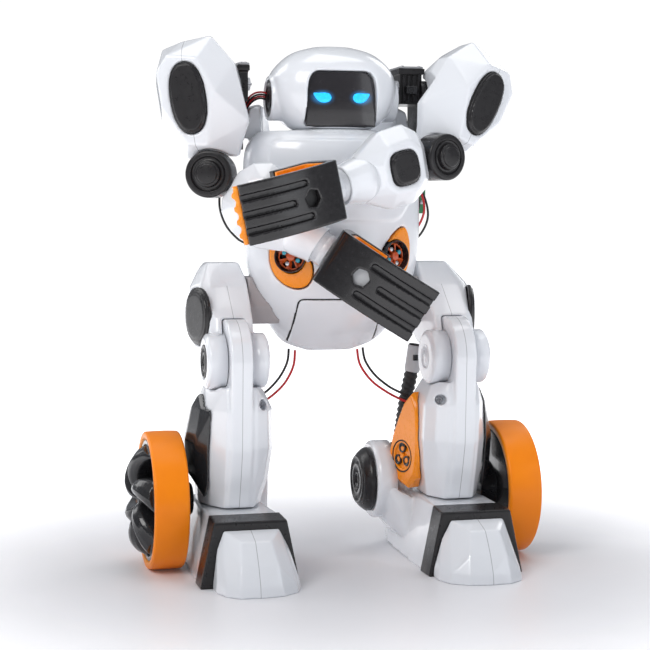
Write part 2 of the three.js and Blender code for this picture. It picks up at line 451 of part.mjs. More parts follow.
// inner orange teardrop cover
const tearOutline = [[-4, 89], [-8.4, 82], [-10.6, 70], [-10.6, 56], [-7, 43.5], [1, 37], [9, 39.5], [15.4, 46], [17.2, 55], [14.6, 64.5], [9, 74.5], [2.5, 84]];
const flatCover = main(cut(hull([...tearOutline.flatMap(([y, z]) => [[46, y, z], [39.6, y, z]]),
  ...offset(tearOutline, -2.2).map(([y, z]) => [38.5, y, z])]), grownHull(shinPts, GAP)));
// on the left leg the cover's face turns forwards: t runs backwards along the face, w out of it
const cy = Math.cos(rad(COVER_YAW)), sy = Math.sin(rad(COVER_YAW));
const onFace = (t, z, w) => [39 - sy * t - cy * w, cy * t - sy * w, z];
const tear = (d, w0, w1) => hull(offset(tearOutline, d).flatMap(([t, z]) => [onFace(t, z, w0), onFace(t, z, w1)]));
const innerCover = cut(hull([...tearOutline.flatMap(([t, z]) => [onFace(t, z, -9), onFace(t, z, 1.2)]),
  ...offset(tearOutline, -2.2).map(([t, z]) => onFace(t, z, 3.2))]), grownHull(shinPts, GAP),
  rod(onFace(4, 54, 6), onFace(4, 54, 2.0), 6.8, 20));
const studs = [0, 1, 2].map((i) => [4 + 3.6 * Math.cos(rad(120 * i + 90)), 54 + 3.6 * Math.sin(rad(120 * i + 90))])
  .map(([t, z]) => rod(onFace(t, z, 3.0), onFace(t, z, 1.2), 1.9, 10));
leg.shin_panel_inner = [main(join(innerCover, ...studs)), 'orange'];

// foot: body, motor drum, fairing between them
const footPts = [
  [34.5, -33, 0], [82.4, -33, 0], [41.2, -33, 33.2], [75.6, -33, 33.2], [35, -6, 0], [81.6, -6, 0], [37, 40, 0.8], [79, 40, 0.8],
  [40, 53.5, 4.5], [75, 53.5, 4.5], [45, 50, 27], [70, 50, 27], [44, -12, 33.6], [76, -12, 33.6], [44, 30, 33.6], [75, 30, 33.6],
];
const drum = latheX([[0, DRUM_X[0]], [19.2, DRUM_X[0]], [21, DRUM_X[0] + 2.4], [21, DRUM_X[1]], [0, DRUM_X[1]]], DRUM.y, DRUM.z, 28);
const fairing = hull([...Array.from({ length: 16 }, (_, i) => rad(180 + 12 * i)).map((t) => [28, DRUM.y + 20.4 * Math.cos(t), DRUM.z + 20.4 * Math.sin(t)]),
  [43, 2, 3], [43, 45, 3], [43, 43, 30], [43, 4, 30]]);
const hosePort = hull([[36, 14, 30], [45, 14, 30], [36, 28, 30], [45, 28, 30], [34.6, 16.5, 54.2], [43, 16.5, 54.2], [34.6, 27.6, 54.2], [43, 27.6, 54.2]]);
const footCut = (s) => main(cut(s, tear(GAP, -10, 12), grownHull(shinPts, GAP),
  rod([TYRE_X[0] - 6.4, AXLE.y, AXLE.z], [TYRE_X[0] + 4, AXLE.y, AXLE.z], 15, 28)));
leg.foot_shell = [footCut(join(hull(footPts), drum, fairing, hosePort)), 'white'];
const footPlain = footCut(join(hull(footPts), hosePort, hull([[34.8, 14, 4], [34.8, 28, 4], [44, 14, 4], [44, 28, 4], [36, 14, 31], [36, 28, 31], [45, 14, 31], [45, 28, 31]])));
leg.foot_band = [hull([[33.2, -49.6, 0], [83.2, -49.6, 0], [39.9, -49.6, 32.4], [76.4, -49.6, 32.4],
  [33.4, -33.4, 0], [83.2, -33.4, 0], [40.2, -33.4, 33.6], [76.2, -33.4, 33.6], [33.0, -44, 0], [83.4, -44, 0]]), 'charcoal'];
leg.toe_cap = [hull([[34.6, -50, 0], [80.6, -50, 0], [34.8, -60, 0], [81, -60.6, 0], [39.4, -70.2, 0], [76.2, -71.2, 0], [49, -74.4, 0], [67.5, -75, 0],
  [36.2, -60, 5], [79.4, -60.6, 5],
  [47.4, -74.2, 2.4], [68.7, -75, 2.4], [43.8, -50, 28.6], [72.3, -50, 28.6], [52.4, -70.4, 17.5], [63.6, -71, 17.5], [50.5, -62, 24.6], [65.8, -62, 24.6]]), 'white'];

// wheel: tyre, cup-shaped rim with hub and six swept spokes
const tyre = latheX([[31.6, TYRE_X[0]], [34.4, TYRE_X[0]], [WHEEL_R, TYRE_X[0] + 1.2], [WHEEL_R, TYRE_X[1] - 1.2], [34.4, TYRE_X[1]], [31.6, TYRE_X[1]], [31.6, TYRE_X[0]]], AXLE.y, AXLE.z, 32);
leg.tyre = [solid(tyre), 'orange'];
const makeRim = (out) => {
let rim = solid(latheX([[0, 78], [7.5, 78], [13.8, 84.4], [31.2, 84.6], [31.2, 101.4], [28.6, 101.4], [28, 91], [9, 91], [9, 101], [6.5, 104.5], [0, 104.5]], AXLE.y, AXLE.z, 32));
for (let i = 0; i < 6; i++) {
  const pts = [];
  for (const [r, x0, x1, hw, lead] of [[5, 89, 103, 2.6, 0], [17, 89, Math.min(109.5, out), 4.2, 8], [22, 89, out, 4.8, 12], [28.8, 89, Math.min(107.5, out), 5.6, 15]])
    for (const x of [x0, x1]) for (const k of [-1, 1]) {
      const t = rad(60 * i + 20 + lead), q = (x === x1 ? 0.72 : 1) * hw * k;
      pts.push([x, AXLE.y + r * Math.cos(t) - q * Math.sin(t), AXLE.z + r * Math.sin(t) + q * Math.cos(t)]);
    }
  rim = join(rim, hull(pts));
}
if (out < RIM_OUT_X) {                                     // longer hub nose where the spokes are shallow
  rim = join(rim, rod([103, AXLE.y, AXLE.z], [RIM_OUT_X, AXLE.y, AXLE.z], 5.8, 16, 3.8));
  return main(cut(rim, rod([107, AXLE.y, AXLE.z], [113, AXLE.y, AXLE.z], 1.9, 12)));
}
return main(cut(rim, rod([101, AXLE.y, AXLE.z], [110, AXLE.y, AXLE.z], 3, 12)));
};
leg.rim = [makeRim(104.6), 'black'];                      // left: spokes nearly flush with the tyre
const rimRight = makeRim(RIM_OUT_X);
leg.motor_cap = [solid(latheX([[0, -GAP], [17, -GAP], [17.2, -2.6], [14.6, -5.8], [12.6, -7.2], [3.2, -7.2], [3.2, -4], [0, -4]].map(([r, x]) => [r, x + DRUM_X[0]]), DRUM.y, DRUM.z, 20)), 'charcoal'];

// corrugated hose behind the shin, with a sleeve at the top and a collar at the foot
const hosePath = [[48.2, 21.5, 112], [46.6, 22.6, 100], [43.4, 23.4, 84], [40.6, 22.8, 68], [38.6, 22.0, 55.5]];
leg.hose = [tube(hosePath, HOSE_R, 10, 9), 'black'];

for (const [k, [g, c]] of Object.entries(leg)) {
  let s = solid(g);
  if (k === 'thigh_shell') s = cut(s, rod([46.9, 20.9, 92], [48.6, 21.3, 113], HOSE_R + 0.5, 12), rod([48.2, 21.5, 112.2], [48.35, 21.4, 113.5], HOSE_R + 0.5, 12));
  const geo = geometryOf(s);
  add(`${k}_L`, geo, c);
  if (k === 'motor_cap') continue;                       // the drum motor is on the left leg only
  const right = { foot_shell: footPlain, shin_panel_inner: flatCover, rim: rimRight }[k];
  add(`${k}_R`, mirrored(right ? geometryOf(right) : geo), c);
}

// motor wires hanging in a bow from the belly to the back of each shin
const wires = {
  leg_wire_red: [[17.3, 30, 109.4], [18.6, 28.5, 101], [24, 25, 92.5], [31.5, 21, 86.5], [38.6, 18.6, 82.6], [42.2, 17.6, 81.2]],
  leg_wire_black: [[20.6, 30.7, 110.2], [21.8, 29.5, 103], [26.4, 27, 95.5], [33, 23.4, 89.5], [38.8, 20.4, 86.2], [42.4, 19, 85]],
};
for (const [k, pts] of Object.entries(wires)) {
  const g = tube(pts, WIRE_D / 2, 8, 10);
  add(`${k}_L`, solid(g), k.includes('red') ? 'red' : 'black');
  add(`${k}_R`, mirrored(g), k.includes('red') ? 'red' : 'black');
}

export default robot;
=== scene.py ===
import bpy, bmesh, math
from mathutils import Vector, Matrix


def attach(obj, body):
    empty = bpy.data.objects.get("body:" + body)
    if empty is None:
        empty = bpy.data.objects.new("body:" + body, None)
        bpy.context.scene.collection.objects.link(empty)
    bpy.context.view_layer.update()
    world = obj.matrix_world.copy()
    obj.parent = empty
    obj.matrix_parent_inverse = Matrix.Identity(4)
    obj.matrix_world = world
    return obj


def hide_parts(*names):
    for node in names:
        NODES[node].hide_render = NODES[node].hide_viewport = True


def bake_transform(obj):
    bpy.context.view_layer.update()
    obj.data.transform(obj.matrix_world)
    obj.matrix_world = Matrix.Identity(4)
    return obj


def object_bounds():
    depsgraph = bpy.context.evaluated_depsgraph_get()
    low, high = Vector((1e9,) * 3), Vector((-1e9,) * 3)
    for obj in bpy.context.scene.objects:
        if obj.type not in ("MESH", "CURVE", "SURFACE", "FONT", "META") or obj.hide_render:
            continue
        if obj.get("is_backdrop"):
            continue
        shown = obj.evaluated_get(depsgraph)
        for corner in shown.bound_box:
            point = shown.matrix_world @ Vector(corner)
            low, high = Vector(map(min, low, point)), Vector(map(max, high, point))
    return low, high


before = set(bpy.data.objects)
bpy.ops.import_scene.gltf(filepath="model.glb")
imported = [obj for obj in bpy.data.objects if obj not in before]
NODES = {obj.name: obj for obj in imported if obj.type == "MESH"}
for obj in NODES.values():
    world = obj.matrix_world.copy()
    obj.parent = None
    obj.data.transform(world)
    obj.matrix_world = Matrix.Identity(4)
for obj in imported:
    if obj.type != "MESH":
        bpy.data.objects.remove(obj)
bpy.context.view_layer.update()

K, SH = 0.001, 10.75                      # millimetres to metres, and the CAD's centring shift along Y
SCENE = bpy.context.scene
COL = SCENE.collection
rad = math.radians
cos, sin = math.cos, math.sin


# ------------------------------------------------------------------ mesh code
def W(p):
    return Vector((p[0] * K, (p[1] + SH) * K, p[2] * K))


def build(name, verts, faces, T=None, smooth=True):
    if T is not None:
        verts = [T @ Vector(v) for v in verts]
    me = bpy.data.meshes.new(name)
    me.from_pydata([W(v) for v in verts], [], faces)
    bm = bmesh.new()
    bm.from_mesh(me)
    bmesh.ops.remove_doubles(bm, verts=bm.verts, dist=1e-7)
    bmesh.ops.recalc_face_normals(bm, faces=bm.faces)
    for f in bm.faces:
        f.smooth = smooth
    bm.to_mesh(me)
    bm.free()
    ob = bpy.data.objects.new(name, me)
    COL.objects.link(ob)
    return ob


def hull(name, pts, T=None):
    bm = bmesh.new()
    for p in pts:
        bm.verts.new(Vector(p) if T is None else T @ Vector(p))
    res = bmesh.ops.convex_hull(bm, input=bm.verts)
    junk = list({g for g in res["geom_interior"] + res["geom_unused"] if isinstance(g, bmesh.types.BMVert)})
    if junk:
        bmesh.ops.delete(bm, geom=junk, context="VERTS")
    bmesh.ops.dissolve_limit(bm, angle_limit=rad(0.5), verts=bm.verts, edges=bm.edges)
    bm.verts.ensure_lookup_table()
    idx = {v: i for i, v in enumerate(bm.verts)}
    verts = [v.co.copy() for v in bm.verts]
    faces = [[idx[v] for v in f.verts] for f in bm.faces]
    bm.free()
    return build(name, verts, faces, None)


def catmull(vals, t, closed=False):
    n = len(vals)
    i = int(math.floor(t))
    if not closed:
        i = min(max(i, 0), n - 2)
    f = t - i
    pick = (lambda k: vals[k % n]) if closed else (lambda k: vals[min(max(k, 0), n - 1)])
    a, b, c, d = pick(i - 1), pick(i), pick(i + 1), pick(i + 2)
    h = lambda a, b, c, d: 0.5 * (2 * b + (c - a) * f + (2 * a - 5 * b + 4 * c - d) * f * f + (3 * b - a - 3 * c + d) * f ** 3)
    if isinstance(b, (int, float)):
        return h(a, b, c, d)
    return tuple(h(*q) for q in zip(a, b, c, d))


def dense(pts, sub=6, closed=False):
    n = len(pts) if closed else len(pts) - 1
    out = [catmull(pts, i + k / sub, closed) for i in range(n) for k in range(sub)]
    return out if closed else out + [tuple(pts[-1])]


def loft(name, rows, seg=112, sub=6, off=0.0, T=None):
    verts, faces = [], []
    rr = dense(rows, sub)
    for z, w, f, b, c, n, nb in rr:
        for j in range(seg):
            th = 2 * math.pi * j / seg
            co, si = cos(th), sin(th)
            p = nb if si > 0 else n
            x = math.copysign(abs(co) ** (2 / p), co) * (w + off)
            y = c + math.copysign(abs(si) ** (2 / p), si) * ((b - c if si > 0 else c - f) + off)
            verts.append((x, y, z))
    for i in range(len(rr) - 1):
        for j in range(seg):
            k = (j + 1) % seg
            faces.append((i * seg + j, i * seg + k, (i + 1) * seg + k, (i + 1) * seg + j))
    faces += [tuple(range(seg)), tuple((len(rr) - 1) * seg + j for j in range(seg))]
    return build(name, verts, faces, T)


def prism(name, outline, u, v, w, o, w0, w1, T=None):
    u, v, w, o = map(Vector, (u, v, w, o))
    n = len(outline)
    verts = [o + u * a + v * b + w * d for d in (w0, w1) for a, b in outline]
    faces = [tuple(range(n)), tuple(range(n, 2 * n))] + [(i, (i + 1) % n, n + (i + 1) % n, n + i) for i in range(n)]
    return build(name, verts, faces, T, smooth=False)


def box(name, x0, x1, y0, y1, z0, z1, T=None):
    return prism(name, [(x0, y0), (x1, y0), (x1, y1), (x0, y1)], (1, 0, 0), (0, 1, 0), (0, 0, 1), (0, 0, 0), z0, z1, T)


def ellipse(a, b, n=80, p=2.0, cu=0.0, cv=0.0):
    out = []
    for i in range(n):
        t = 2 * math.pi * i / n
        c, s = cos(t), sin(t)
        out.append((cu + math.copysign(abs(c) ** (2 / p), c) * a, cv + math.copysign(abs(s) ** (2 / p), s) * b))
    return out


def offset(outline, d):
    cx = sum(p[0] for p in outline) / len(outline)
    cy = sum(p[1] for p in outline) / len(outline)
    out = []
    for x, y in outline:
        r = math.hypot(x - cx, y - cy)
        out.append((cx + (x - cx) * (r + d) / r, cy + (y - cy) * (r + d) / r))
    return out


def corners(pts, r=2.5, n=5):
    """rounds the corners of a closed outline"""
    out = []
    m = len(pts)
    for i in range(m):
        a, b, c = (Vector(pts[(i + k) % m]) for k in (-1, 0, 1))
        ra = min(r, (a - b).length * 0.45)
        rc = min(r, (c - b).length * 0.45)
        p, q = b + (a - b).normalized() * ra, b + (c - b).normalized() * rc
        for k in range(n + 1):
            s = k / n
            out.append(tuple(p * (1 - s) ** 2 + b * 2 * s * (1 - s) + q * s * s))
    return out


def axis_frame(o, axis):
    a = Vector(axis).normalized()
    q = Vector((0, 0, 1)).rotation_difference(a).to_matrix().to_4x4()
    return Matrix.Translation(Vector(o)) @ q


def lathe(name, profile, o=(0, 0, 0), axis=(0, 0, 1), seg=72, closed=False, T=None):
    """profile is (radius, height along the axis)"""
    F = axis_frame(o, axis)
    verts, faces = [], []
    m = len(profile)
    for r, h in profile:
        for j in range(seg):
            t = 2 * math.pi * j / seg
            verts.append(F @ Vector((max(r, 0.004) * cos(t), max(r, 0.004) * sin(t), h)))
    for i in range(m if closed else m - 1):
        i2 = (i + 1) % m
        for j in range(seg):
            k = (j + 1) % seg
            faces.append((i * seg + j, i * seg + k, i2 * seg + k, i2 * seg + j))
    if not closed:
        faces += [tuple(range(seg)), tuple((m - 1) * seg + j for j in range(seg))]
    return build(name, verts, faces, T)


def rod(name, a, b, r, seg=48, r2=None, T=None):
    A, B = Vector(a), Vector(b)
    L = (B - A).length
    r2 = r if r2 is None else r2
    return lathe(name, [(r, 0), (r2, L)], A, B - A, seg, T=T)


def arc(cx, cy, r, a0, a1, n=6):
    """points of a rounded corner, for a lathe profile"""
    return [(cx + r * cos(rad(a0 + (a1 - a0) * i / n)), cy + r * sin(rad(a0 + (a1 - a0) * i / n))) for i in range(n + 1)]


def route(points, n):
    pts = [catmull([tuple(p) for p in points], i * (len(points) - 1) / n) for i in range(n + 1)]
    return [Vector(p) for p in pts]


def tube(name, points, radius, n=60, seg=14, T=None, ends=True):
    """radius is a number or a function of 0..1 along the tube"""
    P = route(points, n)
    rf = radius if callable(radius) else (lambda t: radius)
    verts, faces = [], []
    tan0 = (P[1] - P[0]).normalized()
    nrm = tan0.orthogonal().normalized()
    for i, p in enumerate(P):
        tan = (P[min(i + 1, n)] - P[max(i - 1, 0)]).normalized()
        nrm = (nrm - tan * nrm.dot(tan)).normalized()
        bi = tan.cross(nrm)
        r = rf(i / n)
        for j in range(seg):
            t = 2 * math.pi * j / seg
            verts.append(p + nrm * (r * cos(t)) + bi * (r * sin(t)))
    for i in range(n):
        for j in range(seg):
            k = (j + 1) % seg
            faces.append((i * seg + j, i * seg + k, (i + 1) * seg + k, (i + 1) * seg + j))
    faces += [tuple(range(seg)), tuple(n * seg + j for j in range(seg))]
    ob = build(name, verts, faces, T)
    path = [W(T @ p if T is not None else p) for p in P]
    return ob, path


def drop(ob):
    me = ob.data
    bpy.data.objects.remove(ob)
    if me.users == 0:
        bpy.data.meshes.remove(me)


def bake(ob):
    bpy.context.view_layer.update()
    dg = bpy.context.evaluated_depsgraph_get()
    me = bpy.data.meshes.new_from_object(ob.evaluated_get(dg))
    ob.modifiers.clear()
    old = ob.data
    ob.data = me
    if old.users == 0:
        bpy.data.meshes.remove(old)
    for p in me.polygons:
        p.use_smooth = True
    return ob


def boolean(ob, other, op="DIFFERENCE", keep=False):
    spare = ob.data.copy()
    m = ob.modifiers.new("b", "BOOLEAN")
    m.operation, m.object, m.solver = op, other, "EXACT"
    bake(ob)
    if len(ob.data.vertices) < 4 <= len(spare.vertices):     # a cut that fails leaves the piece as it was
        ob.data, spare = spare, ob.data
        print("boolean skipped on", ob.name)
    bpy.data.meshes.remove(spare)
    if not keep:
        drop(other)
    return ob


def clone(ob, name, mirror=False):
    me = ob.data.copy()
    me.name = name
    if mirror:
        me.transform(Matrix.Diagonal((-1, 1, 1, 1)))
        me.flip_normals()
    o = bpy.data.objects.new(name, me)
    COL.objects.link(o)
    return o


def fuse(name, *obs):
    bm = bmesh.new()
    for o in obs:
        bm.from_mesh(o.data)
    me = bpy.data.meshes.new(name)
    bm.to_mesh(me)
    bm.free()
    for o in obs:
        drop(o)
    ob = bpy.data.objects.new(name, me)
    COL.objects.link(ob)
    for p in me.polygons:
        p.use_smooth = True
    return ob


def soft(ob, voxel=0.7, it=8, now=False):
    """evenly rounds every edge, as a moulded shell's are"""
    m = ob.modifiers.new("even", "REMESH")
    m.mode, m.voxel_size, m.adaptivity, m.use_smooth_shade = "VOXEL", voxel * K, 0.0, True
    s = ob.modifiers.new("round", "SMOOTH")
    s.factor, s.iterations = 0.5, it
    return bake(ob) if now else ob


def crisp(ob, width=0.5, seg=3, angle=24):
    w = ob.modifiers.new("weld", "WELD")
    w.merge_threshold = 2e-6
    d = ob.modifiers.new("flat", "DECIMATE")
    d.decimate_type, d.angle_limit = "DISSOLVE", rad(1.0)
    b = ob.modifiers.new("edge", "BEVEL")
    b.limit_method, b.angle_limit, b.width, b.segments = "ANGLE", rad(angle), width * K, seg
    b.use_clamp_overlap = True
    n = ob.modifiers.new("shade", "WEIGHTED_NORMAL")
    n.keep_sharp, n.weight = False, 60
    for p in ob.data.polygons:
        p.use_smooth = True
    return ob


def finish(ob, material, body, slot, *replaced):
    ob.data.materials.clear()
    ob.data.materials.append(material)
    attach(ob, body)
    if replaced:
        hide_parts(*replaced)
    return ob


# ------------------------------------------------------------------ materials
class Net:
    def __init__(self, tree):
        self.t = tree

    def node(self, kind, ins=(), **props):
        n = self.t.nodes.new(kind)
        for k, v in props.items():
            setattr(n, k, v)
        for k, v in dict(ins).items():
            self.put(n.inputs[k], v)
        return n

    def put(self, socket, v):
        if isinstance(v, bpy.types.NodeSocket):
            self.t.links.new(v, socket)
        elif isinstance(v, (tuple, list)) and len(v) == 3 and socket.type == "RGBA":
            socket.default_value = (*v, 1)
        else:
            socket.default_value = v

    def math(self, op, a, b=0.0, clamp=False):
        n = self.node("ShaderNodeMath", {0: a, 1: b}, operation=op)
        n.use_clamp = clamp
        return n.outputs[0]

    def noise(self, vec, scale, detail=2.0, rough=0.5):
        return self.node("ShaderNodeTexNoise", {"Vector": vec, "Scale": scale, "Detail": detail, "Roughness": rough}).outputs["Fac"]

    def ramp(self, v, a, b, lo=0.0, hi=1.0, smooth=True):
        n = self.node("ShaderNodeMapRange", {"Value": v, "From Min": a, "From Max": b, "To Min": lo, "To Max": hi})
        n.interpolation_type = "SMOOTHSTEP" if smooth else "LINEAR"
        n.clamp = True
        return n.outputs["Result"]

    def mix(self, f, a, b, blend="MIX"):
        n = self.node("ShaderNodeMix", {0: f, 6: a, 7: b}, data_type="RGBA", blend_type=blend)
        return n.outputs[2]


def plastic(name, base, rough=0.3, var=0.03, grain=2600.0, bump=0.05, coat=0.0, wear_and_highlight=0.0, wear_and_highlight_col=(0.5, 0.5, 0.5), hollow_shade=0.0,
            metal=0.0, seams=(), sss=0.0, glow=(), scratch=0.5, stripes=None, spec=0.5):
    m = bpy.data.materials.new(name)
    m.use_nodes = True
    t = m.node_tree
    t.nodes.clear()
    N = Net(t)
    out = N.node("ShaderNodeOutputMaterial")
    b = N.node("ShaderNodeBsdfPrincipled", {"Base Color": base, "Roughness": rough, "Metallic": metal, "Coat Weight": coat,
                                            "Coat Roughness": 0.07, "Subsurface Weight": sss, "Subsurface Scale": 0.0015,
                                            "Specular IOR Level": spec})
    t.links.new(b.outputs[0], out.inputs[0])
    p = N.node("ShaderNodeTexCoord").outputs["Object"]
    geo = N.node("ShaderNodeNewGeometry")
    big = N.noise(p, 38.0, 3.0)
    fine = N.noise(p, grain, 3.0, 0.6)
    mid = N.noise(p, 420.0, 4.0, 0.62)
    colour = N.mix(N.ramp(big, 0.3, 0.7), tuple(min(1.0, c * (1 - var)) for c in base), tuple(min(1.0, c * (1 + var)) for c in base))
    colour = N.mix(N.ramp(fine, 0.56, 0.78, 0.0, min(0.3, var * 1.6)), colour, tuple(c * 0.85 for c in base))
    # hairline scuffs from handling
    sep = N.node("ShaderNodeMapping", {"Vector": p, "Scale": (5200.0, 240.0, 620.0), "Rotation": (0.35, 0.5, 0.9)}).outputs[0]
    sc = N.ramp(N.noise(sep, 1.0, 1.0), 0.665, 0.74)
    sc = N.math("MULTIPLY", sc, N.ramp(N.noise(p, 70.0, 2.0), 0.48, 0.62))
    r = N.math("ADD", N.ramp(mid, 0.25, 0.75, rough - 0.045, rough + 0.06), N.math("MULTIPLY", sc, 0.16 * scratch))
    if wear_and_highlight:
        # lighter colour on sharp convex edges: partly edge wear, partly a painted highlight where the edges catch the
        # light
        edge = N.ramp(geo.outputs["Pointiness"], 0.515, 0.57, 0.0, 1.0)
        edge = N.math("MULTIPLY", edge, N.ramp(mid, 0.35, 0.65, 0.35, 1.0))
        colour = N.mix(N.math("MULTIPLY", edge, wear_and_highlight), colour, wear_and_highlight_col)
        r = N.math("ADD", r, N.math("MULTIPLY", edge, 0.06))
    if hollow_shade:
        # painted shade: the colour is darkened in hollows and inner corners, where shade falls
        low = N.ramp(geo.outputs["Pointiness"], 0.488, 0.44, 0.0, 1.0)
        colour = N.mix(N.math("MULTIPLY", low, hollow_shade), colour, tuple(c * 0.62 for c in base))
    height = N.math("ADD", N.math("MULTIPLY", fine, 0.30), N.math("MULTIPLY", mid, 0.12))
    height = N.math("SUBTRACT", height, N.math("MULTIPLY", sc, 0.5 * scratch))
    if stripes:
        # parallel mould or tool marks: direction and pitch in metres
        d = N.node("ShaderNodeVectorMath", {0: p, 1: stripes[0]}, operation="DOT_PRODUCT").outputs["Value"]
        s = N.math("SINE", N.math("MULTIPLY", d, 2 * math.pi / stripes[1]))
        height = N.math("ADD", height, N.math("MULTIPLY", s, stripes[2]))
    line = None
    for c, n, f in seams:
        # a thin parting line where the plane cuts the surface, on the side that f points to
        c, n, f = Vector(c), Vector(n).normalized(), Vector(f).normalized()
        d = N.node("ShaderNodeVectorMath", {0: p, 1: tuple(n)}, operation="DOT_PRODUCT").outputs["Value"]
        d = N.math("ABSOLUTE", N.math("SUBTRACT", d, c.dot(n)))
        k = N.ramp(d, 0.00011, 0.00021, 1.0, 0.0)
        side = N.node("ShaderNodeVectorMath", {0: p, 1: tuple(f)}, operation="DOT_PRODUCT").outputs["Value"]
        k = N.math("MULTIPLY", k, N.math("GREATER_THAN", side, c.dot(f)))
        line = k if line is None else N.math("MAXIMUM", line, k)
    if line is not None:
        colour = N.mix(N.math("MULTIPLY", line, 0.62), colour, tuple(c * 0.2 for c in base))
        height = N.math("SUBTRACT", height, N.math("MULTIPLY", line, 3.0))
    bn = N.node("ShaderNodeBump", {"Strength": bump, "Distance": 0.0002, "Height": height})
    for g in glow:
        # light scattered in the dark plate round a lamp
        sx = N.node("ShaderNodeSeparateXYZ", {0: p})
        dx = N.math("MULTIPLY", N.math("SUBTRACT", sx.outputs[0], g[0]), 1 / g[2])
        dz = N.math("MULTIPLY", N.math("SUBTRACT", sx.outputs[2], g[1]), 1 / g[3])
        dd = N.math("SQRT", N.math("ADD", N.math("MULTIPLY", dx, dx), N.math("MULTIPLY", dz, dz)))
        gl = N.math("POWER", N.ramp(dd, 0.55, 1.7, 1.0, 0.0), 2.2)
        prev = b.inputs["Emission Strength"].links
        tot = N.math("ADD", gl, prev[0].from_socket) if prev else gl
        t.links.new(tot, b.inputs["Emission Strength"])
        b.inputs["Emission Color"].default_value = (0.01, 0.20, 0.50, 1)
    t.links.new(colour, b.inputs["Base Color"])
    t.links.new(r, b.inputs["Roughness"])
    t.links.new(bn.outputs[0], b.inputs["Normal"])
    if coat:
        t.links.new(bn.outputs[0], b.inputs["Coat Normal"])
    return m


WHITE = dict(base=(0.80, 0.82, 0.86), rough=0.20, var=0.012, bump=0.02, coat=0.7, hollow_shade=0.0, sss=0.0, scratch=0.3)
DARK = dict(base=(0.0125, 0.0115, 0.0128), rough=0.30, var=0.03, bump=0.010, coat=0.06, spec=0.40, scratch=0.04)


def seam_x(x):
    return [((x * K, -1, 0), (1, 0, 0), (0, -1, 0)), ((-x * K, -1, 0), (1, 0, 0), (0, -1, 0))]


M = {}
M["white"] = plastic("shell_white", **WHITE)
M["white_leg"] = plastic("shell_white_leg", **WHITE, seams=[((58.4 * K, 0.02, 0), (1, 0, 0), (0, -1, 0)), ((-58.4 * K, 0.02, 0), (1, 0, 0), (0, -1, 0))])
M["light"] = plastic("wrist_light", base=(0.74, 0.76, 0.80), rough=0.26, var=0.02, bump=0.03, coat=0.4)
M["charcoal"] = plastic("satin_charcoal", **DARK)
M["grip"] = plastic("jaw_charcoal", base=(0.0125, 0.0115, 0.0128), rough=0.22, var=0.03, bump=0.010, coat=0.20, spec=0.45, scratch=0.04)
M["visor"] = plastic("face_plate", base=(0.018, 0.016, 0.019), rough=0.22, var=0.08, bump=0.04, coat=0.4, scratch=0.2,
                     glow=[(-10.3 * K, 242.3 * K, 4.9 * K, 3.1 * K), (10.3 * K, 242.3 * K, 4.9 * K, 3.1 * K)])
M["orange"] = plastic("moulded_orange", base=(1.0, 0.29, 0.003), rough=0.28, var=0.05, bump=0.04, coat=0.3, hollow_shade=0.3, wear_and_highlight=0.2, wear_and_highlight_col=(1.0, 0.42, 0.04), spec=0.35)
# the tyre's lighter, yellowish edges are mostly a painted highlight along its shoulders
M["tyre"] = plastic("tyre_orange", base=(1.0, 0.25, 0.0), rough=0.40, var=0.06, bump=0.08, coat=0.05, spec=0.3, grain=1800.0, wear_and_highlight=0.6,
                    wear_and_highlight_col=(1.0, 0.42, 0.05), stripes=((1.0, 0.0, 0.0), 0.0022, 0.10))
M["grey"] = plastic("bracket_grey", base=(0.36, 0.335, 0.345), rough=0.40, var=0.05, bump=0.10, wear_and_highlight=0.2, wear_and_highlight_col=(0.55, 0.53, 0.54), hollow_shade=0.4)
M["black"] = plastic("gloss_black", base=(0.016, 0.016, 0.018), rough=0.22, var=0.2, bump=0.04, coat=0.4, wear_and_highlight=0.08, wear_and_highlight_col=(0.05, 0.05, 0.055), spec=0.4)
M["hose"] = plastic("hose_black", base=(0.016, 0.016, 0.017), rough=0.46, var=0.2, bump=0.14, wear_and_highlight=0.4, wear_and_highlight_col=(0.07, 0.07, 0.07))
M["sleeve"] = plastic("sleeve_grey", base=(0.52, 0.53, 0.55), rough=0.38, var=0.04, bump=0.08, hollow_shade=0.4)
M["green"] = plastic("board_green", base=(0.02, 0.20, 0.07), rough=0.36, var=0.15, bump=0.12, coat=0.3, stripes=((0.0, 0.0, 1.0), 0.0016, 0.5))
M["red"] = plastic("wire_red", base=(0.55, 0.012, 0.02), rough=0.36, var=0.08, bump=0.06)
M["blackwire"] = plastic("wire_black", base=(0.012, 0.012, 0.013), rough=0.38, var=0.15, bump=0.06)
M["vent"] = plastic("turbine_red", base=(0.62, 0.085, 0.012), rough=0.3, var=0.15, bump=0.06, coat=0.3, hollow_shade=0.6, wear_and_highlight=0.4, wear_and_highlight_col=(0.95, 0.35, 0.05))
M["teal"] = plastic("turbine_teal", base=(0.03, 0.42, 0.55), rough=0.22, var=0.2, bump=0.05, coat=0.4)
M["steel"] = plastic("screw_steel", base=(0.50, 0.50, 0.52), rough=0.28, var=0.06, bump=0.06, metal=1.0, scratch=1.0)
M["zinc"] = plastic("gearbox_plate", base=(0.34, 0.345, 0.36), rough=0.36, var=0.08, bump=0.08, metal=0.6, scratch=1.0)
# near-black for black parts, and painted shade in the gaps round insets and in the left hand's hex hole
M["dark"] = plastic("recess_black_and_shade", base=(0.010, 0.010, 0.011), rough=0.55, var=0.2, bump=0.08)


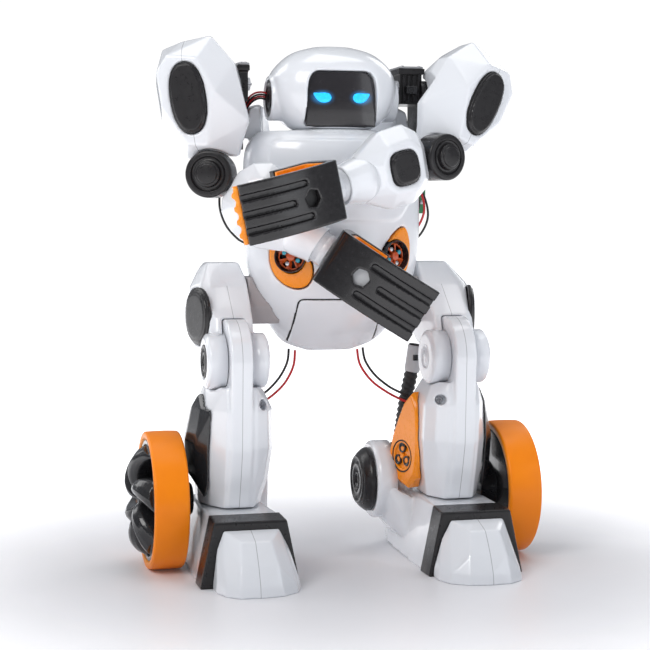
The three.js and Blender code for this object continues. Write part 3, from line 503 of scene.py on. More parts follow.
def lamp_material(name):
    m = bpy.data.materials.new(name)
    m.use_nodes = True
    t = m.node_tree
    t.nodes.clear()
    N = Net(t)
    out = N.node("ShaderNodeOutputMaterial")
    b = N.node("ShaderNodeBsdfPrincipled", {"Base Color": (0.02, 0.45, 0.85), "Roughness": 0.25, "Emission Color": (0.012, 0.40, 0.95), "Emission Strength": 1.0})
    t.links.new(b.outputs[0], out.inputs[0])
    p = N.node("ShaderNodeTexCoord").outputs["Object"]
    v = N.node("ShaderNodeTexVoronoi", {"Vector": p, "Scale": 1150.0}).outputs["Distance"]
    n = N.noise(p, 500.0, 3.0)
    s = N.math("ADD", N.ramp(v, 0.0, 0.7, 1.25, 0.75), N.ramp(n, 0.3, 0.7, -0.12, 0.12))
    t.links.new(s, b.inputs["Emission Strength"])
    bm_ = N.node("ShaderNodeBump", {"Strength": 0.15, "Distance": 0.0002, "Height": v})
    t.links.new(bm_.outputs[0], b.inputs["Normal"])
    return m


M["lamp"] = lamp_material("eye_lamp")

# --------------------------------------------------------- camera and stage
cam_data = bpy.data.cameras.new("camera")
cam_data.lens, cam_data.sensor_width = 89.86, 36.0
cam_data.clip_start, cam_data.clip_end = 0.01, 50.0
cam = bpy.data.objects.new("camera", cam_data)
COL.objects.link(cam)
cam.location = (-0.21562, -0.80737, 0.17821)
cam.rotation_mode = "QUATERNION"
cam.rotation_quaternion = Vector((0.2452, 0.9674, -0.0633)).to_track_quat("-Z", "Y")
SCENE.camera = cam
SCENE.view_settings.view_transform = "Standard"

# ------------------------------------------------------------ part constants
GAP, SEAM_Y = 0.35, 24.0
AXLE = (6.0, 35.5)
KNEE = (-12.0, 108.0)
EAR = (20.0, 243.0)
TRUNK = [(109.6, 12, 23, 33, 27, 2.0, 2.0), (114, 24, 17, 39, 26, 1.9, 2.1), (121, 31, 8, 44, 22, 1.8, 2.3), (132, 38, -2, 47, 18, 1.75, 2.4),
         (145, 43, -9, 48, 16, 1.75, 2.5), (158, 46, -12.5, 48.5, 16, 1.75, 2.6), (172, 47.3, -13, 48.5, 16, 1.75, 2.6), (200, 47.3, -13, 48.5, 16, 1.75, 2.6),
         (214, 46.6, -12.4, 48, 16, 1.8, 2.6), (221, 44, -9.5, 46.5, 16, 1.9, 2.5), (225.4, 39.5, -4, 44, 17, 2.0, 2.4)]
HEAD = [(226.4, 19.5, -3, 36), (229, 24, -7, 39.5), (235, 30, -8, 42.5), (243, 33.6, -8.4, 44.6), (250, 34, -8, 45), (256, 32.4, -6.5, 44),
        (262, 27.6, -3, 41), (267, 20.6, 4.5, 34.5), (270, 10, 12, 26)]
HEAD = [(*r, 20, 2.35, 2.3) for r in HEAD]
X, Y, Z = (1, 0, 0), (0, 1, 0), (0, 0, 1)
NY = (0, -1, 0)
MX = Matrix.Diagonal((-1, 1, 1, 1))
SIDES = (("L", Matrix.Identity(4), 1), ("R", MX, -1))

# ---------------------------------------------------------------------- trunk
outer = loft("trunk_outer", TRUNK, 128, 6)
inner_rows = [(115 if i == 0 else 220.5 if i == 8 else r[0], *r[1:]) for i, r in enumerate(TRUNK[1:-1])]
inner = loft("trunk_inner", inner_rows, 72, 4, -2.6)
wall = boolean(outer, inner, keep=True)
rear = clone(wall, "torso_rear")
front = boolean(wall, box("fb", -70, 70, -60, SEAM_Y - GAP / 2, 90, 240), "INTERSECT")
rear = boolean(rear, box("rb", -70, 70, SEAM_Y + GAP / 2, 90, 90, 240), "INTERSECT")


HATCH = corners([(-22, 138), (-24.2, 104), (24.2, 104), (22, 138)], 2.6)
hatch_prism = lambda d, name="hp": prism(name, offset(HATCH, d), X, Z, NY, (0, 0, 0), -(SEAM_Y - 1.2), 60)
hatch = clone(front, "hatch")
hatch = boolean(hatch, hatch_prism(-0.1), "INTERSECT")
VP, VY = (28.0, -6.0, 160.5), rad(27)
VU, VW = Vector((cos(VY), sin(VY), 0)), Vector((sin(VY), -cos(VY), 0))
VENT = dense([(5.6, 15), (9, 12.6), (11.4, 5), (11.2, -4.5), (7.6, -11.6), (0.6, -16), (-6.4, -15.6), (-10.4, -10.6), (-10.6, -3.6), (-6.6, 4.6), (-0.4, 11.6)], 5, True)
vent_slab = lambda o, a, b, T=None: prism("vs", o, VU, Z, VW, VP, a, b, T)
front = boolean(front, hatch_prism(0.55))
for T in (Matrix.Identity(4), MX):
    front = boolean(front, vent_slab(offset(VENT, 0.45), -14, 14, T))
chest = loft("chest", TRUNK[4:], 128, 6, 0.75)
chest = boolean(chest, prism("cp", corners([(-37.5, 220.6), (37.5, 220.6), (38.5, 190), (30, 179), (-30, 179), (-38.5, 190)], 5), X, Z, NY, (0, 0, 0), -6, 40), "INTERSECT")
chest_in = loft("chest_in", TRUNK[4:], 72, 4, -1.5)
chest = boolean(chest, chest_in)
front = soft(fuse("torso_front", front, chest), 0.62, 9, True)
finish(front, M["white"], "trunk", "white", "torso_front_shell")
finish(soft(hatch, 0.6, 5, True), M["white"], "trunk", "white", "battery_hatch").name = "belly_hatch"
gasket = loft("gasket", TRUNK, 112, 5, -0.85)
gasket = boolean(gasket, loft("g2", TRUNK, 72, 4, -2.3))
gasket = boolean(gasket, hatch_prism(2.2), "INTERSECT")
gasket = boolean(gasket, hatch_prism(-2.2))
finish(gasket, M["dark"], "trunk", "black").name = "belly_hatch_gasket"

humps = []
HUMP = [(30, 12, 222), (46, 12, 222), (46, 47, 222), (26, 47, 222), (33, 16, 236), (43, 16, 236), (43, 45, 239.5), (30, 46, 239.5), (38, 30, 240.5), (34, 30, 240.5)]
for s, T, g in SIDES:
    h = hull("hump", HUMP, T)
    h = boolean(h, rod("hc", (0, 20, 210), (0, 20, 262), 37.2, 96))
    h = boolean(h, box("hb", -70, 70, SEAM_Y + GAP / 2, 90, 90, 260), "INTERSECT")
    h = boolean(h, inner, keep=True)
    humps.append(h)
drop(inner)
rear = soft(fuse("torso_rear", rear, *humps), 0.7, 10, True)
finish(rear, M["white"], "trunk", "white", "torso_rear_shell")


def trunk_surface(x, z, back=True):
    """point and outward normal of the trunk at a given x and height"""
    def at(x, z):
        for i in range(len(TRUNK) - 1):
            if TRUNK[i][0] <= z <= TRUNK[i + 1][0]:
                t = (z - TRUNK[i][0]) / (TRUNK[i + 1][0] - TRUNK[i][0])
                r = catmull(TRUNK, i + t)
                w, n = r[1], r[6] if back else r[5]
                k = max(0.0, 1 - abs(x / w) ** n) ** (1 / n)
                return Vector((x, r[4] + k * (r[3] - r[4]) if back else r[4] - k * (r[4] - r[2]), z))
        return Vector((x, 0, z))
    p = at(x, z)
    a, b = at(x + 0.5, z) - at(x - 0.5, z), at(x, z + 0.5) - at(x, z - 0.5)
    n = a.cross(b).normalized()
    return p, (n if (n.y > 0) == back else -n)


def screw(name, p, n, r, body, boss=True, T=None, sink=0.0):
    """cross-head screw in a shallow countersink"""
    p, n = Vector(p) - Vector(n) * sink, Vector(n).normalized()
    head = lathe(name, [(0, -1.2), (r, -1.2), (r, 0.1), *arc(r - 0.4, 0.1, 0.4, 0, 90, 4), (0, 0.62)], p, n, 32, T=T)
    F = axis_frame(p, n)
    F = F if T is None else T @ F
    for k in (0, 1):
        o = [(-r * 0.62, -r * 0.11), (r * 0.62, -r * 0.11), (r * 0.62, r * 0.11), (-r * 0.62, r * 0.11)]
        if k:
            o = [(b, a) for a, b in o]
        head = boolean(head, prism("sl", o, X, Y, Z, (0, 0, 0), 0.05, 2.0, F))
    finish(head, M["steel"], body, "grey")
    if boss:
        ring = lathe(name + "_recess", [(r + 0.25, -0.8), (r + 1.0, -0.8), (r + 1.0, 0.05), *arc(r + 0.85, 0.05, 0.15, 0, 90, 3), (r + 0.3, 0.12), (r + 0.25, 0.0)], p, n, 40, closed=True, T=T)
        finish(ring, M["dark"], body, "black")
    return head


for i, (x, z) in enumerate([(30, 205), (30, 150), (14, 124)]):
    p, n = trunk_surface(x, z)
    for s, T, g in SIDES:
        screw(f"back_screw_{i}_{s}", p, n, 2.1, "trunk", T=T, sink=0.25)

# collar the head turns on
collar = loft("neck_collar", [(222.6, 27, -6.5, 40, 20, 2.3, 2.3), (224.6, 27, -6.5, 40, 20, 2.3, 2.3), (225.6, 26, -5.5, 39, 20, 2.3, 2.3), (226.05, 24.5, -4, 37.5, 20, 2.3, 2.3)], 112, 4)
finish(collar, M["light"], "trunk", "light")

# vents
vf = loft("vf", TRUNK[3:10], 128, 6, 1.15)
vf = boolean(vf, loft("vi", TRUNK[3:10], 80, 4, -1.8))
vf = boolean(vf, vent_slab(VENT, -12, 14), "INTERSECT")
vf = boolean(vf, vent_slab(ellipse(8.0, 8.7), -14, 16))
vf = soft(vf, 0.4, 7, True)
vw = lambda u, z, w: tuple(Vector(VP) + VU * u + Vector(Z) * z + VW * w)
for s, T, g in SIDES:
    o = vf if g > 0 else clone(vf, "vent_ring_R", True)
    o.name = f"vent_bezel_{s}"
    finish(o, M["orange"], "trunk", "orange", f"vent_frame_{s}")
vf.name = "vent_bezel_L"
for s, T, g in SIDES:
    Q = T
    ring = lathe(f"vent_throat_{s}", [(7.0, -3.0), (8.3, -3.0), (8.3, 1.6), *arc(8.0, 1.6, 0.3, 0, 180, 5), (7.7, 0.4), (7.0, -0.6)], VP, VW, 64, closed=True, T=Q)
    finish(ring, M["black"], "trunk", "black")
    disc = lathe(f"vent_well_{s}", [(0, -4.4), (8.4, -4.4), (8.4, -3.3), (0, -3.3)], VP, VW, 48, T=Q)
    finish(disc, M["dark"], "trunk", "black")
    parts = []
    for i in range(7):
        t0 = 2 * math.pi * i / 7 + 0.2
        pts = []
        for r, wd in ((1.6, 0.25), (4.2, 0.8), (6.7, 1.15)):
            for a, w in ((-wd / r, -2.3), (wd / r, -0.5), (wd / r + 0.12, -0.7), (-wd / r + 0.1, -2.6)):
                q = t0 + a + r * 0.03
                pts.append(vw(r * cos(q), r * sin(q), w))
        parts.append(hull("blade", pts, Q))
    parts.append(lathe("hub", [(0, -3.2), (2.4, -3.2), (2.4, -0.2), *arc(1.7, -0.2, 0.7, 0, 90, 4), (0, 0.7)], VP, VW, 32, T=Q))
    parts.append(lathe("rimr", [(6.2, -2.8), (6.9, -2.8), (6.9, -1.2), (6.2, -1.2)], VP, VW, 48, closed=True, T=Q))
    fan = soft(fuse(f"turbine_{s}", *parts), 0.22, 2, True)
    finish(fan, M["vent"], "trunk", "vent", f"vent_turbine_{s}")
    for i in range(4):
        t0 = 2 * math.pi * i / 4 + 0.5
        c = vw(4.1 * cos(t0), 4.1 * sin(t0), -1.0)
        bead = lathe(f"turbine_cell_{s}_{i}", [(0, -1.4), (1.25, -1.4), (1.25, 0.1), *arc(0.8, 0.1, 0.45, 0, 90, 4), (0, 0.6)], c, VW, 24, T=Q)
        finish(bead, M["teal"] if i % 2 == 0 else M["steel"], "trunk", "vent")

# grey brackets, gearboxes and board
for s, T, g in SIDES:
    nd = NODES[f"hip_bracket_{s}"]
    soft(nd, 0.6, 6)
    nd.data.materials.clear(); nd.data.materials.append(M["grey"])
    nd = NODES[f"shoulder_gearbox_{s}"]
    crisp(nd, 0.5, 3, 28)
    nd.data.materials.clear(); nd.data.materials.append(M["charcoal"])
    gx = 37.2 if s == "L" else 44.2                       # inner face of the box
    if s == "R":
        parts = [box("g1", 44.8, 50, 19, 40, 241.2, 257.5, T), box("g2", 44.2, 51, 17, 42, 257, 260, T), box("g3", 47.9, 51, 17, 38, 216, 246, T), rod("g4", (49, 22, 246), (53.4, 22, 246), 8, 64, T=T)]
        gb = soft(fuse("gearbox_body_R", *parts), 0.4, 4, True)
        finish(gb, M["charcoal"], "trunk", "charcoal", "shoulder_gearbox_R")
    plate = prism(f"gearbox_plate_{s}", corners([(gx, 17.4), (50.6, 17.4), (50.6, 41.6), (gx, 41.6)], 1.6), X, Y, Z, (0, 0, 0), 260.02, 261.2, T)
    crisp(plate, 0.3, 2, 50)
    finish(plate, M["zinc"], "trunk", "grey")
    for i, (x, y) in enumerate([(gx + 2.1, 19.6), (48.4, 19.6), (gx + 2.1, 39.2), (48.4, 39.2)]):
        screw(f"gearbox_screw_{s}_{i}", (x, y, 261.2), Z, 1.1, "trunk", boss=False, T=T)
    # gear train under the plate, on the side that faces the head
    for i, (y, z, r, x) in enumerate([(23.0, 250.5, 3.4, gx + 0.7), (29.4, 249.0, 4.2, gx + 0.7), (35.8, 251.6, 3.2, gx + 0.7)]):
        o = []
        teeth = int(round(2 * math.pi * r / 1.5))
        for k in range(teeth * 4):
            a = 2 * math.pi * k / (teeth * 4)
            q = r if (k % 4) in (0, 1) else r - 0.55
            o.append((y + q * cos(a), z + q * sin(a)))
        gear = prism(f"gear_{s}_{i}", o, Y, Z, X, (0, 0, 0), x - 1.6, x, T)
        crisp(gear, 0.08, 1, 40)
        finish(gear, M["light"], "trunk", "light")
        pin = lathe(f"gear_pin_{s}_{i}", [(0, 0), (0.8, 0), (0.8, 2.2), *arc(0.5, 2.2, 0.3, 0, 90, 3), (0, 2.5)], (x - 0.2, y, z), (-1, 0, 0), 20, T=T)
        finish(pin, M["steel"], "trunk", "grey")
    # ribs and a connector on the gearbox's front
    for i in range(4 if s == "L" else 0):
        rib = box(f"gearbox_rib_{s}_{i}", 39 + i * 2.8, 40.3 + i * 2.8, 17.9, 19.4, 243.0, 256.6, T)
        crisp(rib, 0.25, 2, 40)
        finish(rib, M["charcoal"], "trunk", "charcoal")
    if s == "R":
        continue
    conn = box(f"gearbox_plug_{s}", 40.5, 46.5, 14.8, 18.2, 246.4, 250.6, T)
    crisp(conn, 0.35, 2, 40)
    finish(conn, M["black"], "trunk", "black")
board = NODES["circuit_board_L"]
crisp(board, 0.12, 1, 30)
board.data.materials.clear(); board.data.materials.append(M["green"])
for i, (x, z, w, h, d, mt) in enumerate([(53, 210, 3.4, 2.2, 1.0, "black"), (52, 203, 2.2, 2.8, 0.8, "steel"), (55.4, 205, 1.2, 1.8, 0.7, "light"),
                                         (53, 195, 4.2, 4.2, 1.1, "black"), (55.2, 189, 1.4, 2.0, 0.8, "steel"), (51.4, 187, 1.6, 1.6, 0.8, "light")]):
    chip = box(f"board_part_{i}", x - w / 2, x + w / 2, 35.4 - d, 35.45, z - h / 2, z + h / 2)
    crisp(chip, 0.12, 1, 40)
    finish(chip, M[mt], "trunk", "black")

# ----------------------------------------------------------------------- head
head = loft("head", HEAD, 128, 7)
ear_r = lathe("ear_r", [(0, -34.6), (10.4, -34.6), *arc(10.6, -33.4, 1.2, -90, 0, 4), *arc(10.6, 33.4, 1.2, 0, 90, 4), (10.4, 34.6), (0, 34.6)], (0, *EAR), X, 72)
head = boolean(head, ear_r, "UNION")
top = [(-18.6 - 0, 227.6), (18.6, 227.6), (17.9, 246)]
top += [(12 + 5.6 * cos(a), 247.6 + 8.0 * sin(a)) for a in [rad(8 + 82 * i / 9) for i in range(10)]]
top += [(-12 + 5.6 * cos(a), 247.6 + 8.0 * sin(a)) for a in [rad(90 + 82 * i / 9) for i in range(10)]]
top += [(-17.9, 246)]
visor_outline = lambda d: [(x + math.copysign(d, x), z + (d if z > 240 else -d)) for x, z in top]
head = boolean(head, box("hc", -60, 60, -60, -5, 200, 300))
head = boolean(head, prism("vc", visor_outline(0.45), X, Z, NY, (0, 0, 0), -2.2, 20))
for g in (1, -1):
    head = boolean(head, rod("eb", (31.0 * g, *EAR), (40 * g, *EAR), 9.7, 64))
head = soft(head, 0.55, 16, True)
head.name = "helmet"
finish(head, M["white"], "head", "white", "head_shell")
VIS = [(220, 40, -2.5, 30, 15, 2, 2), (240, 40, -3.8, 30, 15, 2, 2), (262, 40, -2.6, 30, 15, 2, 2)]
visor = prism("face", visor_outline(0.0), X, Z, NY, (0, 0, 0), -1.85, 6)
visor = boolean(visor, loft("vl", VIS, 160, 12), "INTERSECT")
visor = soft(visor, 0.4, 4, True)
visor.name = "face_screen"
finish(visor, M["visor"], "head", "charcoal", "visor")


def visor_y(x, z):
    f = catmull(VIS, 0 + (z - 220) / 20 if z < 240 else 1 + (z - 240) / 22)[2]
    return 15 - (15 - f) * math.sqrt(max(0.0, 1 - (x / 40) ** 2))


EYE = dense([(-4.5, -0.3), (-3.7, 1.7), (-1.4, 2.4), (1.8, 2.3), (4.6, 2.2), (3.9, 0.2), (2.1, -1.8), (-0.4, -2.7), (-3.2, -2.2)], 6, True)
for s, T, g in SIDES:
    n = len(EYE)
    verts, faces = [], []
    rings = [(0.02, 0.48), (0.35, 0.46), (0.7, 0.38), (0.9, 0.27), (1.0, 0.08), (1.0, -0.4)]
    for k, lift in rings:
        for u, v in EYE:
            x, z = g * (10.3 + u * k), 242.3 + v * k
            verts.append((x, visor_y(x, z) - lift, z))
    for i in range(len(rings) - 1):
        for j in range(n):
            faces.append((i * n + j, i * n + (j + 1) % n, (i + 1) * n + (j + 1) % n, (i + 1) * n + j))
    faces += [tuple(range(n)), tuple((len(rings) - 1) * n + j for j in range(n))]
    finish(build(f"eye_lamp_{s}", verts, faces), M["lamp"], "head", "light")
    # ear disc with a raised ring and a dark centre
    ear = lathe(f"ear_disc_{s}", [(0, 31.35), (9.4, 31.35), (9.4, 33.1), *arc(8.9, 33.2, 0.5, 0, 90, 4), (7.6, 33.8), (7.1, 33.0), (5.9, 32.9), *arc(5.0, 33.1, 0.6, 0, 90, 4), (2.4, 33.7), (2.2, 33.0), (0, 33.0)],
                (0, *EAR), X, 72, T=T)
    finish(ear, M["charcoal"], "head", "charcoal", f"ear_cap_{s}")

# ----------------------------------------------------------------------- arms
ARMS = {"R": dict(E=(-68.4, -2, 202.4), s=24, a=33, pod=(-70, 8, 242), roll=9), "L": dict(E=(-49.2, -14.7, 211.6), s=22, a=13.5, pod=(-66.5, 8, 243.5), roll=30)}
for s, A in ARMS.items():
    S, a = rad(A["s"]), rad(A["a"])
    n = Vector((-sin(S), -cos(S), 0))
    d = Vector((cos(a) * cos(S), -cos(a) * sin(S), -sin(a)))
    up = Vector((sin(a) * cos(S), -sin(a) * sin(S), cos(a)))
    e = Vector(A["E"])
    F = Matrix(((d.x, -n.x, up.x, e.x), (d.y, -n.y, up.y, e.y), (d.z, -n.z, up.z, e.z), (0, 0, 0, 1)))
    P = Matrix.Translation(Vector(A["pod"])) @ Matrix.Rotation(rad(-22), 4, "Z") @ Matrix.Rotation(rad(-A["roll"]), 4, "Y")
    side = MX if s == "L" else Matrix.Identity(4)
    F, P = side @ F, side @ P
    ua, fa, ha = f"upper_arm_{s}", f"forearm_{s}", f"hand_{s}"
    # pod: rounded facets with a parting line through the oval
    c = W(P @ Vector((-4.8, 0, 0)))
    nx = (P.to_3x3() @ Vector((1, 0, 0)))
    fr = (P.to_3x3() @ Vector((0, -1, 0)))
    pod_mat = plastic(f"shell_white_pod_{s}", **WHITE, seams=[(tuple(c), tuple(nx), tuple(fr))])
    fr_, mi_, re_ = ([(-2.4, 18.5), (12, 22), (19, 14), (19, -4), (9, -24), (-1, -26), (-9.2, 0.6)],
                     [(-9, 30), (6, 29.4), (17, 27), (23, 10), (23, -9), (13, -30), (-13, -33), (-22, -16), (-19, 14)],
                     [(-8, 24), (8, 22), (16, 4), (12, -16), (-10, -22), (-17, -8), (-14, 10)])
    pp = [(-o, -18, z) for o, z in fr_] + [(-o, -4, z) for o, z in mi_] + [(-o * 0.97, 5, z * 0.97) for o, z in mi_] + [(-o, 19, z) for o, z in re_]
    podo = hull("pod", pp, P)
    podo = boolean(podo, prism("po", ellipse(9.25, 18.35, 96, 2.3, -4.8, -0.8), X, Z, NY, (0, 0, 0), 16.2, 30, P))
    podo = boolean(podo, rod("pd", tuple(e - n * 8), tuple(e + n * 16), 12.8, 96, T=side))
    podo = boolean(podo, rod("pb", (-40, 22, 246), (-56.5, 22, 246), 8.6, 48, T=side))
    podo = boolean(podo, box("px", -51.5, -30, 0, 60, 190, 262, side))
    podo.name = f"shoulder_pod_{s}"
    podo = soft(podo, 0.6, 16, True)
    finish(podo, pod_mat, ua, "white", f"shoulder_shell_{s}")
    oval = lambda dd, w0, w1: prism("ov", ellipse(8.9 + dd, 18 + dd, 96, 2.3, -4.8, -0.8), X, Z, NY, (0, 0, 0), w0, w1, P)
    ins = soft(fuse(f"shoulder_oval_{s}", oval(-0.05, 16.5, 19.3), oval(-1.2, 19.0, 20.2)), 0.38, 8, True)
    finish(ins, M["charcoal"], ua, "charcoal", f"shoulder_inset_{s}")
    lip = lambda dd, w0, w1: prism("lp", ellipse(8.9 + dd, 18 + dd, 96, 2.3, -4.8, -0.8), X, Z, NY, (0, 0, 0), w0, w1, P)
    gk = boolean(lip(0.28, 16.4, 18.05), lip(0.02, 15, 21))
    finish(gk, M["dark"], ua, "black").name = f"shoulder_oval_shadow_gap_{s}"
    # elbow: stepped disc with a knob
    Te = side
    disc = lathe(f"elbow_disc_{s}", [(0, -7), (11.3, -7), *arc(11.3, -6.3, 0.7, -90, 0, 3), *arc(10.7, 5.7, 1.3, 0, 90, 6), (9.4, 7.0), *arc(9.2, 6.7, 0.3, 90, 180, 3), (8.8, 6.3), (6.9, 6.2),
                                      (6.7, 6.5), (6.5, 8.3), *arc(5.9, 8.5, 0.6, 0, 90, 4), (5.5, 9.1), (5.2, 9.2), *arc(4.6, 9.3, 0.6, 0, 90, 4), (0, 10.0)], e, n, 96, T=Te)
    finish(disc, M["charcoal"], ua, "charcoal", f"elbow_hub_{s}")
    pod = Vector(A["pod"])
    u = pod - e
    u = (u - n * u.dot(n)).normalized()
    lat = u.cross(n)
    br = hull(f"elbow_bracket_{s}", [e + u * k + lat * (l * (0.85 if k > 10 else 1)) + n * dd for k in (4, 11.5) for l in (-5.0, 5.0) for dd in (-5.6, 0.6)], Te)
    crisp(br, 0.9, 3, 20)
    finish(br, M["charcoal"], ua, "charcoal")
    # forearm
    nd = NODES[f"forearm_shell_{s}"]
    soft(nd, 0.62, 16)
    nd.data.materials.clear(); nd.data.materials.append(M["white"])
    sq = lambda dd, w0, w1: prism("sq", ellipse(8.8 + dd, 8.6 + dd, 96, 3.2, 33, 1.4), X, Z, NY, (0, 0, 0), w0, w1, F)
    ins = soft(fuse(f"forearm_plug_{s}", sq(-0.05, 10.9, 13.05), sq(-1.2, 12.8, 13.75)), 0.34, 7, True)
    finish(ins, M["charcoal"], fa, "charcoal", f"forearm_inset_{s}")
    gk = boolean(sq(0.28, 10.6, 12.1), sq(0.02, 9.5, 15))
    finish(gk, M["dark"], fa, "black").name = f"forearm_plug_shadow_gap_{s}"
    # the shell narrows to the wrist
    nose = lathe(f"forearm_nose_{s}", [(0, 50), (11.4, 50), (11.9, 53.5), (11.7, 56.5), (10.9, 60.5), (10.1, 64.0), *arc(9.6, 65.9, 0.5, 0, 90, 4), (9.2, 66.4), (8.9, 66.1), (0, 66.0)], (0, 0, 0), X, 96, T=F)
    finish(nose, M["white"], fa, "white")
    # wrist
    prof = [(0, 44), (8.0, 44), (8.5, 44.5), (8.5, 56.9), *arc(8.9, 57.2, 0.3, -90, 0, 3), (9.2, 58.4), (8.9, 59.0), (8.55, 59.2), (8.5, 69.0), (8.36, 69.15), (8.36, 69.4), (8.5, 69.55), (8.5, 72.4), (8.2, 72.9), (0, 72.9)]
    wr = lathe(f"wrist_barrel_{s}", prof, (0, 0, 0), X, 80, T=F)
    finish(wr, M["light"], ha, "light", f"wrist_{s}")
    # gripper
    o1 = [(98, -12.2), (78, -12.2), (74.6, -11.2), (73.3, -8.6), (73.3, 9.5)]
    o2 = dense([(73.3, 9.5), (74.8, 12.8), (78, 14.4), (87, 15.7), (97, 16.1), (108, 15.4), (119, 13.3), (131, 9.6)], 5)
    i1 = dense([(130, 6.6), (118, 10.1), (107.5, 11.9), (97, 12.5), (87, 12.2), (80.5, 11.1), (78.4, 9.3), (77.8, 7)], 5)
    i2 = [(77.8, -6.6), (79.4, -8.4), (98, -8.4)]
    H = 14.6
    jaw = lambda o, h0, h1: prism("jaw", o, X, NY, (0, 0, -1), (0, 0, 0), h0, h1, F)
    grip = jaw(corners(o1[:4], 1.2, 3)[0:0] + o1[:-1] + o2 + i1 + i2, -H, H)
    cutline = [(x, y - 1.95) for x, y in dense([(87, 15.7), (97, 16.1), (108, 15.4), (119, 13.3), (131, 9.6), (137, 7.2)], 6)]
    for x0, z in ((97.5, 8), (105.5, 0), (97, -8)):
        line = [q for q in cutline if q[0] > x0 + 0.4]
        o = [(x0, 20.0), (x0, line[0][1] + 0.1)] + line + [(138, 20.0)]
        grip = boolean(grip, jaw(o, -z - 1.65, -z + 1.65))
        grip = boolean(grip, rod("gs", (x0 + 0.03, -line[0][1] - 0.13, z + 0.01), (x0 + 0.03, -20.3, z + 0.01), 1.6, 27, T=F))
    hexa = [(94.5 + (r[0] * 0.966 - r[1] * 0.259), r[0] * 0.259 + r[1] * 0.966) for r in ellipse(4.6, 4.6, 6)]
    grip = boolean(grip, prism("hx", hexa, X, Z, NY, (0, 0, 0), 0, 30, F))
    grip = soft(grip, 0.42, 6, True)
    # plug in the hex hole: a grey peg in the right hand; in the left hand a dark plug, painted shade in the hole
    plugo = prism(f"hex_peg_and_shade_{s}", [(94.5 + (a - 94.5) * 1.08, b * 1.08) for a, b in hexa], X, Z, NY, (0, 0, 0), 9.6, 12.7, F)
    crisp(plugo, 0.2, 2, 30)
    finish(plugo, M["sleeve" if s == "R" else "dark"], ha, "black")
    grip.name = f"gripper_jaw_{s}"
    finish(grip, M["grip"], ha, "charcoal", f"gripper_{s}")
    lo = [(97.6, -8.05), (79.6, -8.05), (78.15, -6.4), (78.15, 6.9)] + dense([(78.75, 9.0), (80.7, 10.75), (87, 11.85), (97, 12.15), (107.5, 11.55), (118, 9.75), (130.0, 6.4)], 5)
    li = dense([(131.9, 5.4), (131.2, 3.9), (117.5, 8.1), (107.2, 9.9), (97, 10.5), (87, 10.2), (81.8, 9.4), (80, 6.5)], 5) + [(80, -5.6), (80.6, -6.5), (97.6, -6.5)]
    liner = jaw(lo + li, -H + 0.5, H - 0.5)
    for i in range(5):
        liner = boolean(liner, rod("sc", (133.3, -14, (i - 2) * 6.4), (133.3, 2, (i - 2) * 6.4), 2.5, 28, T=F))
    hx2 = [(94.5 + (r[0] * 0.966 - r[1] * 0.259), r[0] * 0.259 + r[1] * 0.966) for r in ellipse(5.2, 5.2, 6)]
    liner = boolean(liner, prism("hx", hx2, X, Z, NY, (0, 0, 0), 0, 30, F))
    if s == "R":
        liner = boolean(liner, box("lt", 127.2, 140, -20, 4, -20, 20, F))
    liner = soft(liner, 0.36, 4, True)
    liner.name = f"gripper_pad_{s}"
    finish(liner, M["orange"], ha, "orange", f"gripper_liner_{s}")

# ----------------------------------------------------------------------- legs
THN, THU = (0.9723, -0.2340, 0), (0.2340, 0.9723, 0)
HOSE = [(48.2, 21.5, 112), (46.6, 22.6, 100), (43.4, 23.4, 84), (40.6, 22.8, 68), (38.6, 22.0, 55.5)]
WIRES = {"leg_wire_red": [(17.3, 30, 109.4), (18.6, 28.5, 101), (24, 25, 92.5), (31.5, 21, 86.5), (38.6, 18.6, 82.6), (42.2, 17.6, 81.2)],
         "leg_wire_black": [(20.6, 30.7, 110.2), (21.8, 29.5, 103), (26.4, 27, 95.5), (33, 23.4, 89.5), (38.8, 20.4, 86.2), (42.4, 19, 85)]}
SOFT = {"thigh_shell": (0.6, 16, "white_leg"), "shin_shell": (0.6, 16, "white_leg"), "shin_panel_outer": (0.5, 14, "black"), "shin_panel_inner": (0.38, 6, "orange"),
        "foot_shell": (0.65, 15, "white"), "foot_band": (0.5, 8, "charcoal")}


